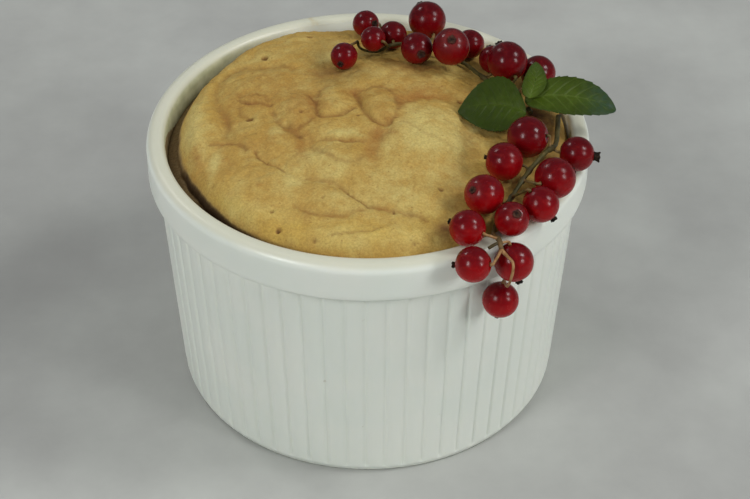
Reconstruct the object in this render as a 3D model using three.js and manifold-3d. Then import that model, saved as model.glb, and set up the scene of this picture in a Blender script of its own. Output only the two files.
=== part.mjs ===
// A baked souffle in a fluted porcelain dish, with two sprigs of red currants and a mint sprig.
// Millimetres, +Z up. The origin is the centre of the dish's flat underside.

import * as THREE from "three";
import { mergeVertices } from "three/addons/utils/BufferGeometryUtils.js";
import Module from "manifold-3d";

const wasm = await Module();
wasm.setup();

const GAP = 0.3; // clearance between neighbouring solids
const SLACK = 0.1; // added to it where facets stand in for a curve
const CLOSING_RADIUS = 18; // of the triangle in the middle of a flat disc
const DEGREE = Math.PI / 180;

// Dish: a straight-tapered wall of reeds under a plain band.
const DISH_HEIGHT = 74.7;
const FOOT_RADIUS = 51.5;
const FOOT_ROUNDING = 1.6;
const BODY_TOP_RADIUS = 55.1;
const BAND_RADIUS = 57.5;
const BAND_HEIGHT = 10.6;
const BAND_EDGE = 0.8;
const BAND_NECK = 0.5; // the body turns out into the band over this height
const RIM_INNER_RADIUS = 52.7;
const RIM_OUTER_ROUNDING = 2.5;
const RIM_INNER_ROUNDING = 1.5;
const FLOOR_THICKNESS = 5;
const FLOOR_RADIUS = 47.6; // where the inner wall would meet the floor
const FLOOR_FILLET = 4;
const FILLET_MIDDLE = 0.3; // share of the fillet at which its middle lies
const REED_COUNT = 65;
const REED_START = 269.4 * DEGREE; // one groove faces the front, just left of -Y
const REED_CROWN = 0.15;
const GROOVE_DEPTH = 0.5;
const GROOVE_HALF_WIDTH = 0.15; // in reed widths
const REED_FOOT = 3.5; // the reeds run from here
const REED_TOP = DISH_HEIGHT - BAND_HEIGHT - 1.6; // to here

// Souffle: it fills the dish and has shrunk from the wall on the left and at the back.
const CROWN_HEIGHT = 80.2;
const SHOULDER_HEIGHT = 74.6;
const SHOULDER_ROUNDING = 5.5;
const SHRINK_TOP = 68;
const SHRINK_FLOOR = 56; // height at which it meets the wall again
// How far it has shrunk: azimuth in degrees, width of the gap beyond the usual clearance.
const SHRINKAGE = [
  [52, 0], [98, 3], [116, 0.4], [124, 0.2], [150, 2.6], [190, 2.9], [214, 3.1], [236, 1.3], [254, 0.5],
  [270, 0],
];
// Where a collar of it still fills the gap up to SHRINK_TOP: azimuth in degrees, share.
const COLLAR = [[90, 0], [115, 1], [203, 1], [214, 0]];

// Swellings of the crust: centre, half sizes, turn in degrees, and rise.
const SWELLINGS = [
  { x: 14.7, y: -11.5, across: 10.5, along: 14, turn: 4, rise: 1.8 },
  { x: 2.9, y: 0.8, across: 4.8, along: 8, turn: -8, rise: 1.5 },
  { x: -9.7, y: 4.2, across: 3.8, along: 6.5, turn: 4, rise: 1 },
  { x: -18.5, y: 2, across: 4.6, along: 5.6, turn: 10, rise: 0.8 },
  { x: -29, y: 15, across: 7, along: 7.5, turn: -10, rise: 0.9 },
  { x: -27, y: -10, across: 6, along: 7, turn: 25, rise: 0.7 },
  { x: -43, y: 0, across: 4, along: 20, turn: -4, rise: 0.8 },
  { x: -18, y: 35, across: 18, along: 7.5, turn: 12, rise: 0.7 },
  { x: -29, y: -29, across: 11, along: 8, turn: -40, rise: 1.1 },
  { x: -8, y: -20.5, across: 8.5, along: 5.5, turn: -14, rise: 0.9 },
  { x: -10, y: -34.5, across: 8, along: 3.6, turn: -28, rise: 0.8 },
  { x: 14, y: -34, across: 10, along: 5, turn: 8, rise: 0.6 },
  { x: 0, y: -47, across: 22, along: 3.5, turn: 0, rise: 0.7 },
  { x: 10, y: 18, across: 13, along: 7, turn: 6, rise: 0.8 },
];

// Creases between the swellings: route, half width and depth.
const CREASES = [
  {
    route: [[-36.5, 24.5], [-39.5, 19], [-40.2, 10], [-38.8, 4.5], [-36.2, -2], [-36.5, -7]],
    width: 1.8,
    depth: 1,
  },
  { route: [[-36.5, 24.5], [-29, 24], [-22, 23], [-14, 18]], width: 1.8, depth: 0.7 },
  { route: [[-13.8, 9], [-13.4, 2], [-12.6, -2.6], [-7, -2]], width: 1.3, depth: 0.9 },
  { route: [[-3.6, 8.5], [-2.4, 3], [-1, -2], [1.8, -5.6], [4.8, -6.8]], width: 1.3, depth: 1 },
  { route: [[-25, 2], [-22.5, -4.5], [-18, -8.5], [-15, -12], [-13.5, -17]], width: 2.2, depth: 1.1 },
  { route: [[4.5, -9], [1.8, -14], [0.8, -22]], width: 2.2, depth: 0.9 },
  { route: [[7.5, 3.5], [15, 6.5], [23.5, 6]], width: 2, depth: 0.9 },
  {
    route: [[-28, -15.5], [-24.7, -20.3], [-15.3, -26.7], [-7, -30], [0, -36.7], [9, -39.5]],
    width: 1.2,
    depth: 0.9,
  },
  { route: [[-18, -36], [-12, -39.2], [-3, -40]], width: 1.2, depth: 0.6 },
  { route: [[24.8, -4], [25, -14], [24.6, -24]], width: 1.3, depth: 0.6 },
];

// Two currants have long pedicels that pass others on the way: places from the main stalk on.
const HIDDEN_PEDICEL = [[2.6, 31.5, 79.7], [3.6, 37.5, 79], [2.6, 44.3, 78.6]];
const LONG_PEDICEL = [[32.9, -55.1, 76.5], [34.2, -56.6, 75.6], [34, -57.9, 73], [33.3, -55.8, 67.9]];

// Currants: place in plan, diameter, and where the dried flower end points (azimuth, elevation).
// Those on the crust and the rim are dropped in this order; each rests on what lies below it.
const BACK_CURRANTS = [
  { x: -0.6, y: 40.2, across: 7.3, turn: -44, tilt: 26, via: HIDDEN_PEDICEL },
  { x: 6.7, y: 32.7, across: 7.6, turn: 90, tilt: -5 },
  { x: 1.4, y: 27.7, across: 6.7, turn: 139, tilt: -9 },
  { x: -6.4, y: 20.3, across: 7.2, turn: -105, tilt: -5 },
  { x: 16.2, y: 40.7, across: 10.3, turn: 108, tilt: 21 },
  { x: 27.5, y: 29.5, across: 7.8, turn: 72, tilt: -5 },
  { x: 13, y: 23.1, across: 8.5, turn: -75, tilt: 10 },
  { x: 21.9, y: 20.3, across: 9.9, turn: -90, tilt: 55 },
  { x: 33.3, y: 22.1, across: 7.5, turn: 100, tilt: 18 },
  { x: 45, y: 16.4, across: 9.3, turn: 90, tilt: -10 },
  { x: 36.5, y: 13.9, across: 10.5, turn: 111, tilt: 21 },
];
const FRONT_CURRANTS = [
  { x: 40.1, y: -14.8, across: 10.5, turn: 160, tilt: -16 },
  { x: 33.6, y: -24.7, across: 9.5, turn: 172, tilt: 10 },
  { x: 52.3, y: -18.3, across: 8.8, turn: -5, tilt: -5 },
  { x: 45.9, y: -29.3, across: 10.3, turn: 38, tilt: -8 },
  { x: 28.1, y: -37.2, across: 9.8, turn: -146, tilt: 39 },
  { x: 41.8, y: -38.7, across: 9, turn: -18, tilt: -47 },
  { x: 34.5, y: -44.4, across: 8.5, turn: -69, tilt: 54 },
  { x: 23.7, y: -48.1, across: 8.8, turn: 149, tilt: 0 },
];
// These three hang outside the rim: azimuth about the dish, height, and the rest as above.
const HANGING_CURRANTS = [
  { azimuth: -66.5, z: 75.6, across: 8.7, turn: 165, tilt: -14 },
  { azimuth: -56.2, z: 72.3, across: 9.5, turn: -50, tilt: -67 },
  { azimuth: -57.3, z: 59, across: 9, turn: -116, tilt: -70, via: LONG_PEDICEL },
];
const CURRANT_SIDES = 10;
const CURRANT_LATITUDES = [-62, -33, -3, 27, 55]; // degrees
const TUFT_RADIUS = 1.1; // of the shrivelled flower, or less on a small currant
const TUFT_SHARE = 0.25; // of the currant's radius at most

// Sprig stalks: routes of the main stalks, which pass between the currants.
const STALK_RADIUS = 0.65;
const STALK_SIDES = 6;
const PEDICEL_RADIUS = 0.38;
const PEDICEL_SIDES = 5;
const PEDICEL_LEAD = 0.8; // straight run into the currant
const PEDICEL_LEAD_SHARE = 0.35; // of a short pedicel at most
const BACK_STALK = [
  [37.5, 4, 79.3], [33.5, 12, 79.2], [29, 18.5, 79.2], [25, 23.5, 79.5], [19, 27.5, 80.2], [13.5, 29, 81],
  [9.5, 28.2, 82.2], [5.8, 27.5, 82], [3.2, 28.2, 79.9], [0, 28.4, 79.6], [-2.2, 28.4, 80.7],
  [-2.9, 28.9, 82.3],
];
const FRONT_STALK = [
  [49.5, 2.5, 76.4], [48.7, -4.5, 77.5], [47.2, -14.5, 79.6], [44.2, -20, 81.2], [40.1, -26.2, 80.6],
  [37.5, -30.2, 79.4], [34.8, -34.8, 78], [31.9, -39.8, 76.5], [30.1, -46, 76.2], [31.1, -50.2, 77.6],
  [31.6, -53.3, 77],
];
// A broken stub of the front stalk, over the rim.
const SPUR = [[31.2, -51.2, 77.6], [29.9, -52, 77.5], [28.5, -52.6, 76.9]];

// Mint: base, tip and width of each leaf, its roll about the midrib in degrees, how far the
// midrib arches up and sweeps sideways, how far each half folds up per millimetre of width, and
// how fast it widens from the base and from the tip (a lower power is blunter).
const LEAF_THICKNESS = 0.5;
const LEAF_STUB = 0.5; // half width at the base
const LEAF_TIP = 0.1; // half width at the tip
const TOOTH_OUT = 1.06; // width at a tooth of the edge
const TOOTH_IN = 0.96; // width between two teeth
const MIDRIB_RIPPLE = 0.25;
const EDGE_RIPPLE = 0.2;
const LEAVES = {
  mint_leaf_left: {
    base: [40.4, -3.9, 81.9], tip: [23.1, -1.4, 80.3], width: 16.6, roll: -20,
    arch: 1.5, sweep: -1.5, fold: 0.1, basePower: 0.72, tipPower: 0.92,
  },
  mint_leaf_right: {
    base: [40.4, 0.9, 82.7], tip: [63.6, -2.2, 81.5], width: 11, roll: 22,
    arch: 1.5, sweep: 1.8, fold: 0.12, basePower: 0.62, tipPower: 0.66,
  },
  mint_leaf_small: {
    base: [41.4, -0.9, 84.3], tip: [43.6, 10.4, 87.8], width: 5.3, roll: 0,
    arch: 0.6, sweep: -0.7, fold: 0.15, basePower: 0.55, tipPower: 0.85,
  },
};
const MINT_STALK = [[42.3, 2.6, 77.6], [41.7, 0.4, 79.6], [41.2, -1.4, 81.4]];

const smoothStep = (t) => THREE.MathUtils.smoothstep(t, 0, 1);

// ---------------------------------------------------------------- dish profile

function innerWallRadius(z) {
  const share = (z - FLOOR_THICKNESS) / (DISH_HEIGHT - FLOOR_THICKNESS);
  return FLOOR_RADIUS + (RIM_INNER_RADIUS - FLOOR_RADIUS) * share;
}

function bodyRadius(z) {
  return FOOT_RADIUS + (BODY_TOP_RADIUS - FOOT_RADIUS) * (z / (DISH_HEIGHT - BAND_HEIGHT));
}

function rimHeight(radius) {
  const inwards = (RIM_INNER_RADIUS + RIM_INNER_ROUNDING - radius) / RIM_INNER_ROUNDING;
  const outwards = (radius - BAND_RADIUS + RIM_OUTER_ROUNDING) / RIM_OUTER_ROUNDING;
  if (inwards > 1 || outwards > 1) return -Infinity;
  const drop = (t, rounding) => rounding * (1 - Math.sqrt(1 - Math.max(0, t) ** 2));
  return DISH_HEIGHT - drop(inwards, RIM_INNER_ROUNDING) - drop(outwards, RIM_OUTER_ROUNDING);
}

// ---------------------------------------------------------------- crust surface

// What a table of azimuths and values gives at an azimuth, going smoothly from row to row.
function byAzimuth(table, azimuth) {
  const turn = (azimuth / DEGREE + 360) % 360;
  let value = 0;
  for (let i = 1; i < table.length; i += 1) {
    const [from, before] = table[i - 1];
    const [to, after] = table[i];
    if (turn >= from) value = before + (after - before) * smoothStep((turn - from) / (to - from));
  }
  return value;
}

function shrinkage(azimuth) {
  return byAzimuth(SHRINKAGE, azimuth);
}

function crustRadius(azimuth) {
  return RIM_INNER_RADIUS - GAP - shrinkage(azimuth);
}

function swellingAt(x, y, { x: cx, y: cy, across, along, turn, rise }) {
  const c = Math.cos(turn * DEGREE);
  const s = Math.sin(turn * DEGREE);
  const a = (c * (x - cx) + s * (y - cy)) / across;
  const b = (c * (y - cy) - s * (x - cx)) / along;
  return rise * Math.exp(-((a * a + b * b) ** 1.5));
}

function distanceToRoute(x, y, route) {
  const point = new THREE.Vector2(x, y);
  let nearest = Infinity;
  for (let i = 1; i < route.length; i += 1) {
    const start = new THREE.Vector2(...route[i - 1]);
    const leg = new THREE.Vector2(...route[i]).sub(start);
    const share = THREE.MathUtils.clamp(point.clone().sub(start).dot(leg) / leg.lengthSq(), 0, 1);
    nearest = Math.min(nearest, start.addScaledVector(leg, share).distanceTo(point));
  }
  return nearest;
}

function creaseAt(x, y, { route, width, depth }) {
  return depth * Math.exp(-((distanceToRoute(x, y, route) / width) ** 2));
}

function crustHeight(x, y) {
  const radius = Math.hypot(x, y);
  const edge = crustRadius(Math.atan2(y, x));
  if (radius > edge + 1e-6) return -Infinity;
  const share = Math.min(radius / edge, 1);
  const dome = SHOULDER_HEIGHT + (CROWN_HEIGHT - SHOULDER_HEIGHT) * (1 - share ** 2);
  const over = Math.max(0, (radius - edge + SHOULDER_ROUNDING) / SHOULDER_ROUNDING);
  const shoulder = SHOULDER_ROUNDING * (1 - Math.sqrt(Math.max(0, 1 - over ** 2)));
  let relief = 0;
  for (const swelling of SWELLINGS) relief += swellingAt(x, y, swelling);
  for (const crease of CREASES) relief -= creaseAt(x, y, crease);
  return dome - shoulder + relief * (1 - over ** 2);
}

function groundHeight(x, y) {
  return Math.max(crustHeight(x, y), rimHeight(Math.hypot(x, y)));
}

// ---------------------------------------------------------------- solids from rings

// A ring is a list of points in order of azimuth. Neighbouring rings may differ in count.
function circle(radius, z, count, start = REED_START) {
  return Array.from({ length: count }, (_, i) => {
    const azimuth = start + (i / count) * 2 * Math.PI;
    return new THREE.Vector3(radius * Math.cos(azimuth), radius * Math.sin(azimuth), z);
  });
}

function geometryFrom(points, triangles) {
  const geometry = new THREE.BufferGeometry();
  const positions = points.flatMap((point) => point.toArray());
  geometry.setAttribute("position", new THREE.Float32BufferAttribute(positions, 3));
  geometry.setIndex(triangles.flat());
  geometry.computeVertexNormals();
  return geometry;
}

function solidFromRings(rings) {
  const points = rings.flat();
  const triangles = [];
  let base = 0;
  const fan = (first, count, up) => {
    for (let i = 1; i < count - 1; i += 1) {
      triangles.push(up ? [first, first + i, first + i + 1] : [first, first + i + 1, first + i]);
    }
  };
  fan(0, rings[0].length, false);
  for (let row = 1; row < rings.length; row += 1) {
    const lower = rings[row - 1].length;
    const upper = rings[row].length;
    const next = base + lower;
    let i = 0;
    let j = 0;
    while (i < lower || j < upper) {
      if (j >= upper || (i < lower && (i + 0.5) / lower <= (j + 0.5) / upper)) {
        triangles.push([base + i, base + ((i + 1) % lower), next + (j % upper)]);
        i += 1;
      } else {
        triangles.push([base + (i % lower), next + ((j + 1) % upper), next + j]);
        j += 1;
      }
    }
    base = next;
  }
  fan(base, rings[rings.length - 1].length, true);
  return geometryFrom(points, triangles);
}

// ---------------------------------------------------------------- dish

function reededRing(z) {
  const pitch = (2 * Math.PI) / REED_COUNT;
  const ring = [];
  for (let reed = 0; reed < REED_COUNT; reed += 1) {
    const columns = [
      [0, -GROOVE_DEPTH],
      [GROOVE_HALF_WIDTH, 0],
      [0.5, REED_CROWN],
      [1 - GROOVE_HALF_WIDTH, 0],
    ];
    for (const [share, proud] of columns) {
      const azimuth = REED_START + (reed + share) * pitch;
      const radius = bodyRadius(z) + proud;
      ring.push(new THREE.Vector3(radius * Math.cos(azimuth), radius * Math.sin(azimuth), z));
    }
  }
  return ring;
}

function dishGeometry() {
  const rings = [];
  const fine = 2 * REED_COUNT;
  const coarse = REED_COUNT;
  rings.push(circle(CLOSING_RADIUS, 0, 3));
  rings.push(circle(FOOT_RADIUS - FOOT_ROUNDING, 0, coarse));
  rings.push(circle(bodyRadius(FOOT_ROUNDING), FOOT_ROUNDING, fine));
  rings.push(reededRing(REED_FOOT));
  rings.push(reededRing(REED_TOP));
  const bandFoot = DISH_HEIGHT - BAND_HEIGHT;
  rings.push(circle(bodyRadius(bandFoot - BAND_NECK), bandFoot - BAND_NECK, fine));
  rings.push(circle(BODY_TOP_RADIUS + BAND_NECK, bandFoot, fine));
  rings.push(circle(BAND_RADIUS - BAND_EDGE, bandFoot, fine));
  rings.push(circle(BAND_RADIUS, bandFoot + BAND_EDGE, fine));
  for (const angle of [0, 30, 60, 90]) {
    const out = RIM_OUTER_ROUNDING * Math.cos(angle * DEGREE);
    const up = RIM_OUTER_ROUNDING * Math.sin(angle * DEGREE);
    const radius = BAND_RADIUS - RIM_OUTER_ROUNDING + out;
    rings.push(circle(radius, DISH_HEIGHT - RIM_OUTER_ROUNDING + up, fine));
  }
  for (const angle of [90, 45, 0]) {
    const inward = RIM_INNER_ROUNDING * Math.cos(angle * DEGREE);
    const up = RIM_INNER_ROUNDING * Math.sin(angle * DEGREE);
    const radius = RIM_INNER_RADIUS + RIM_INNER_ROUNDING - inward;
    rings.push(circle(radius, DISH_HEIGHT - RIM_INNER_ROUNDING + up, angle > 0 ? fine : coarse));
  }
  const filletTop = FLOOR_THICKNESS + FLOOR_FILLET;
  rings.push(circle(innerWallRadius(filletTop), filletTop, coarse));
  const turn = FILLET_MIDDLE * FLOOR_FILLET;
  rings.push(circle(FLOOR_RADIUS - turn, FLOOR_THICKNESS + turn, coarse));
  rings.push(circle(FLOOR_RADIUS - FLOOR_FILLET, FLOOR_THICKNESS, coarse));
  rings.push(circle(CLOSING_RADIUS, FLOOR_THICKNESS, 3));
  return solidFromRings(rings);
}

// ---------------------------------------------------------------- souffle

function souffleGeometry() {
  const around = 96;
  const rings = [];
  const floor = FLOOR_THICKNESS + GAP;
  rings.push(circle(CLOSING_RADIUS, floor, 3, 0));
  rings.push(circle(FLOOR_RADIUS - FLOOR_FILLET - GAP, floor, around, 0));
  const bend = floor + FLOOR_FILLET;
  const sideLevels = [bend, SHRINK_FLOOR, (SHRINK_FLOOR + SHRINK_TOP) / 2, SHRINK_TOP];
  for (const z of sideLevels) {
    const open = smoothStep((z - SHRINK_FLOOR) / (SHRINK_TOP - SHRINK_FLOOR));
    const ring = circle(1, z, around, 0);
    for (const point of ring) {
      const azimuth = Math.atan2(point.y, point.x);
      const width = shrinkage(azimuth) * open * (1 - byAzimuth(COLLAR, azimuth));
      const radius = innerWallRadius(z) - GAP - SLACK - width;
      point.setX(radius * Math.cos(azimuth)).setY(radius * Math.sin(azimuth));
    }
    rings.push(ring);
  }
  const insets = [0.25, 1.2, 2.9, 5.5, 8.6, 12, 15.6, 19.4, 23.4];
  const middle = [23, 19.4, 15.8, 12.4];
  const centre = [9.2, 6, 3];
  const topRing = (count, radiusAt) => {
    const ring = circle(1, 0, count, 0);
    for (const point of ring) {
      const azimuth = Math.atan2(point.y, point.x);
      const radius = radiusAt(azimuth);
      point.setX(radius * Math.cos(azimuth)).setY(radius * Math.sin(azimuth));
      point.setZ(crustHeight(point.x, point.y));
    }
    return ring;
  };
  for (const inset of insets) rings.push(topRing(around, (azimuth) => crustRadius(azimuth) - inset));
  for (const radius of middle) rings.push(topRing(around / 2, () => radius));
  for (const radius of centre) rings.push(topRing(around / 4, () => radius));
  return solidFromRings(rings);
}

// ---------------------------------------------------------------- currants

// Lowest height at which a ball over (x, y) clears the crust, the rim and the balls already laid.
function restingHeight(x, y, radius, laid) {
  const reach = radius + GAP + SLACK;
  const steps = 8;
  let height = -Infinity;
  for (let i = -steps; i <= steps; i += 1) {
    for (let j = -steps; j <= steps; j += 1) {
      const dx = (i / steps) * reach;
      const dy = (j / steps) * reach;
      const left = reach ** 2 - dx ** 2 - dy ** 2;
      if (left > 0) height = Math.max(height, groundHeight(x + dx, y + dy) + Math.sqrt(left));
    }
  }
  for (const ball of laid) {
    const sum = ball.radius + reach;
    const left = sum ** 2 - (x - ball.centre.x) ** 2 - (y - ball.centre.y) ** 2;
    if (left > 0) height = Math.max(height, ball.centre.z + Math.sqrt(left));
  }
  return height;
}

// Radius at which a ball at height z just clears the dish's outside.
function hangingRadius(z, radius) {
  const reach = radius + GAP + SLACK;
  let nearest = 0;
  for (let share = -1; share <= 1; share += 0.05) {
    const level = z + share * reach;
    if (level > DISH_HEIGHT) continue;
    const wall = level > DISH_HEIGHT - BAND_HEIGHT ? BAND_RADIUS : bodyRadius(level) + REED_CROWN;
    nearest = Math.max(nearest, wall + reach * Math.sqrt(Math.max(0, 1 - share ** 2)));
  }
  return nearest;
}

function layCurrants() {
  const laid = [];
  const add = (row, name, centre) => {
    const flat = Math.cos(row.tilt * DEGREE);
    const flowerWay = new THREE.Vector3(
      flat * Math.cos(row.turn * DEGREE),
      flat * Math.sin(row.turn * DEGREE),
      Math.sin(row.tilt * DEGREE),
    );
    laid.push({ name, centre, radius: row.across / 2, flowerWay, via: row.via });
  };
  const drop = (rows, prefix) => {
    rows.forEach((row, i) => {
      const z = restingHeight(row.x, row.y, row.across / 2, laid);
      add(row, `${prefix}_${i + 1}`, new THREE.Vector3(row.x, row.y, z));
    });
  };
  drop(BACK_CURRANTS, "currant_back");
  drop(FRONT_CURRANTS, "currant_front");
  HANGING_CURRANTS.forEach((row, i) => {
    const radius = hangingRadius(row.z, row.across / 2);
    const x = radius * Math.cos(row.azimuth * DEGREE);
    const y = radius * Math.sin(row.azimuth * DEGREE);
    add(row, `currant_hanging_${i + 1}`, new THREE.Vector3(x, y, row.z));
  });
  return laid;
}

// A ball about its own axis, with the shrivelled flower as a tuft at the top end.
function currantGeometry(radius) {
  const profile = [new THREE.Vector2(0, -radius * 0.98)];
  for (const latitude of CURRANT_LATITUDES) {
    const angle = latitude * DEGREE;
    profile.push(new THREE.Vector2(radius * Math.cos(angle), radius * Math.sin(angle)));
  }
  const tuft = Math.min(TUFT_RADIUS, TUFT_SHARE * radius);
  profile.push(new THREE.Vector2(tuft * 0.8, radius * 0.95));
  profile.push(new THREE.Vector2(tuft, radius + tuft * 0.9));
  profile.push(new THREE.Vector2(0, radius + tuft * 1.1));
  const lathe = new THREE.LatheGeometry(profile, CURRANT_SIDES);
  lathe.deleteAttribute("normal");
  lathe.deleteAttribute("uv");
  return mergeVertices(lathe);
}

// ---------------------------------------------------------------- stalks

function tube(points, radius, sides, steps) {
  const section = new THREE.Shape();
  for (let side = 0; side < sides; side += 1) {
    const angle = (side / sides) * 2 * Math.PI;
    const corner = [radius * Math.cos(angle), radius * Math.sin(angle)];
    if (side === 0) section.moveTo(...corner);
    else section.lineTo(...corner);
  }
  const extrudePath = new THREE.CatmullRomCurve3(points);
  return new THREE.ExtrudeGeometry(section, { steps, extrudePath });
}

function toManifold(geometry) {
  const bare = geometry.clone();
  bare.deleteAttribute("normal");
  bare.deleteAttribute("uv");
  const merged = mergeVertices(bare);
  const vertProperties = new Float32Array(merged.attributes.position.array);
  const triVerts = new Uint32Array(merged.index.array);
  return new wasm.Manifold(new wasm.Mesh({ numProp: 3, vertProperties, triVerts }));
}

function fromManifold(solid) {
  const { vertProperties, triVerts } = solid.getMesh();
  const geometry = new THREE.BufferGeometry();
  geometry.setAttribute("position", new THREE.BufferAttribute(vertProperties, 3));
  geometry.setIndex(new THREE.BufferAttribute(triVerts, 1));
  geometry.computeVertexNormals();
  return geometry;
}

// A main stalk with one pedicel to the stalk end of each of its currants, and a stub if it has one.
function sprigGeometry(route, balls, spur) {
  const main = route.map((place) => new THREE.Vector3(...place));
  const spine = new THREE.CatmullRomCurve3(main);
  const joints = spine.getPoints(120);
  let solid = toManifold(tube(main, STALK_RADIUS, STALK_SIDES, Math.round(1.5 * main.length)));
  for (const { centre, radius, flowerWay, via } of balls) {
    const end = centre.clone().addScaledVector(flowerWay, -radius - GAP);
    const middle = via ? via.map((place) => new THREE.Vector3(...place)) : [];
    const goal = via ? middle[0] : end;
    const nearer = (a, b) => (a.distanceTo(goal) < b.distanceTo(goal) ? a : b);
    const start = joints.reduce(nearer);
    const straight = Math.min(PEDICEL_LEAD_SHARE * start.distanceTo(end), PEDICEL_LEAD);
    const lead = end.clone().addScaledVector(flowerWay, -straight);
    const steps = 3 + 2 * middle.length;
    const pedicel = tube([start, ...middle, lead, end], PEDICEL_RADIUS, PEDICEL_SIDES, steps);
    solid = solid.add(toManifold(pedicel));
  }
  if (spur) {
    const places = spur.map((place) => new THREE.Vector3(...place));
    solid = solid.add(toManifold(tube(places, PEDICEL_RADIUS, PEDICEL_SIDES, 3)));
  }
  return fromManifold(solid);
}

// ---------------------------------------------------------------- mint leaves

function leafGeometry({ base, tip, width, roll, arch, sweep, fold, basePower, tipPower }) {
  const foot = new THREE.Vector3(...base);
  const along = new THREE.Vector3(...tip).sub(foot);
  const length = along.length();
  const axis = along.clone().normalize();
  const level = new THREE.Vector3(0, 0, 1).cross(axis).normalize();
  const side = level.applyAxisAngle(axis, roll * DEGREE);
  const normal = axis.clone().cross(side);
  const stations = 10;
  const outline = (share) => share ** basePower * (1 - share) ** tipPower;
  const widest = outline(basePower / (basePower + tipPower));
  const across = [-1, -0.5, 0, 0.5, 1];
  const points = [];
  const triangles = [];
  for (const face of [1, -1]) {
    for (let i = 0; i <= stations; i += 1) {
      const share = i / stations;
      const tooth = i % 2 === 1 ? TOOTH_OUT : TOOTH_IN;
      const blade = (width / 2) * (outline(share) / widest) * tooth;
      const half = blade + LEAF_STUB * (1 - share) + LEAF_TIP;
      const bow = Math.sin(Math.PI * share);
      const lift = arch * bow + MIDRIB_RIPPLE * Math.sin(9 * share);
      for (const v of across) {
        const wave = fold * half * Math.abs(v) + EDGE_RIPPLE * v * Math.sin(7 * share + 2 * v);
        const point = foot.clone().addScaledVector(axis, share * length);
        point.addScaledVector(side, v * half + sweep * bow);
        point.addScaledVector(normal, lift + wave + (face * LEAF_THICKNESS) / 2);
        points.push(point);
      }
    }
  }
  const columns = across.length;
  const under = (stations + 1) * columns;
  const quad = (a, b, c, d) => triangles.push([a, b, c], [a, c, d]);
  for (let i = 0; i < stations; i += 1) {
    for (let j = 0; j < columns - 1; j += 1) {
      const a = i * columns + j;
      quad(a, a + columns, a + columns + 1, a + 1);
      triangles.push([under + a, under + a + columns + 1, under + a + columns]);
      triangles.push([under + a, under + a + 1, under + a + columns + 1]);
    }
    const first = i * columns;
    const last = first + columns - 1;
    quad(first, under + first, under + first + columns, first + columns);
    quad(last, last + columns, under + last + columns, under + last);
  }
  const end = stations * columns;
  for (let j = 0; j < columns - 1; j += 1) {
    quad(j, j + 1, under + j + 1, under + j);
    quad(end + j, under + end + j, under + end + j + 1, end + j + 1);
  }
  return geometryFrom(points, triangles);
}

// ---------------------------------------------------------------- output

const materials = {
  porcelain: new THREE.MeshStandardMaterial({ color: 0xe9ebe4, roughness: 0.25 }),
  crust: new THREE.MeshStandardMaterial({ color: 0xb9975a, roughness: 0.8 }),
  currant: new THREE.MeshStandardMaterial({ color: 0x8c0a12, roughness: 0.2 }),
  stalk: new THREE.MeshStandardMaterial({ color: 0x6b5a33, roughness: 0.6 }),
  leaf: new THREE.MeshStandardMaterial({ color: 0x3c5a22, roughness: 0.55 }),
};

const souffleInDish = new THREE.Group();

function addPiece(name, geometry, material) {
  const mesh = new THREE.Mesh(geometry, material);
  mesh.name = name;
  souffleInDish.add(mesh);
  return mesh;
}

addPiece("dish", dishGeometry(), materials.porcelain);
addPiece("souffle", souffleGeometry(), materials.crust);

const currants = layCurrants();
for (const { name, centre, radius, flowerWay } of currants) {
  const currant = addPiece(name, currantGeometry(radius), materials.currant);
  currant.position.copy(centre);
  currant.quaternion.setFromUnitVectors(new THREE.Vector3(0, 1, 0), flowerWay);
}

const backSprig = currants.filter(({ name }) => name.startsWith("currant_back"));
const frontSprig = currants.filter(({ name }) => !name.startsWith("currant_back"));
addPiece("stalk_back", sprigGeometry(BACK_STALK, backSprig), materials.stalk);
addPiece("stalk_front", sprigGeometry(FRONT_STALK, frontSprig, SPUR), materials.stalk);

for (const [name, leaf] of Object.entries(LEAVES)) addPiece(name, leafGeometry(leaf), materials.leaf);
const mintStalk = MINT_STALK.map((place) => new THREE.Vector3(...place));
addPiece("mint_stalk", tube(mintStalk, STALK_RADIUS, STALK_SIDES, 4), materials.stalk);

export default souffleInDish;
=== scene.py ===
"""A baked souffle in its fluted porcelain dish, with two sprigs of red currants and a mint sprig.

The scene is in metres, +Z up. Shapes are worked out in millimetres, as in the part's own source,
and add_piece turns them into metres.
"""

import math

import bpy
import numpy as np
from mathutils import Matrix, Vector


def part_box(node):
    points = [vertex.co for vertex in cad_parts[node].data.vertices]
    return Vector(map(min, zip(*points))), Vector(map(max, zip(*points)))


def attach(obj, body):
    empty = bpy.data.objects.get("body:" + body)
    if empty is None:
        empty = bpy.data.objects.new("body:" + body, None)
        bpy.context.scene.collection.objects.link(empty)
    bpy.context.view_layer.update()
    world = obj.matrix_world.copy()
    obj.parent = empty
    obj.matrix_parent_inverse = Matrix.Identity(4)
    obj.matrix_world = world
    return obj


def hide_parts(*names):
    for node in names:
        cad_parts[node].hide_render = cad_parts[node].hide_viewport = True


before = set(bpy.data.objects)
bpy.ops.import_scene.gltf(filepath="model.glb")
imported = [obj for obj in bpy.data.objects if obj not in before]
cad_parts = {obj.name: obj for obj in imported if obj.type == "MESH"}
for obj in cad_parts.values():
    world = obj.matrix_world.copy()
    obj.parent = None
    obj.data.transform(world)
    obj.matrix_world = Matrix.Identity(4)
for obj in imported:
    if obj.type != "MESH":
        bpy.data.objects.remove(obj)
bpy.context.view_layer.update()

MM = 0.001
TURN = 2 * math.pi

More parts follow.
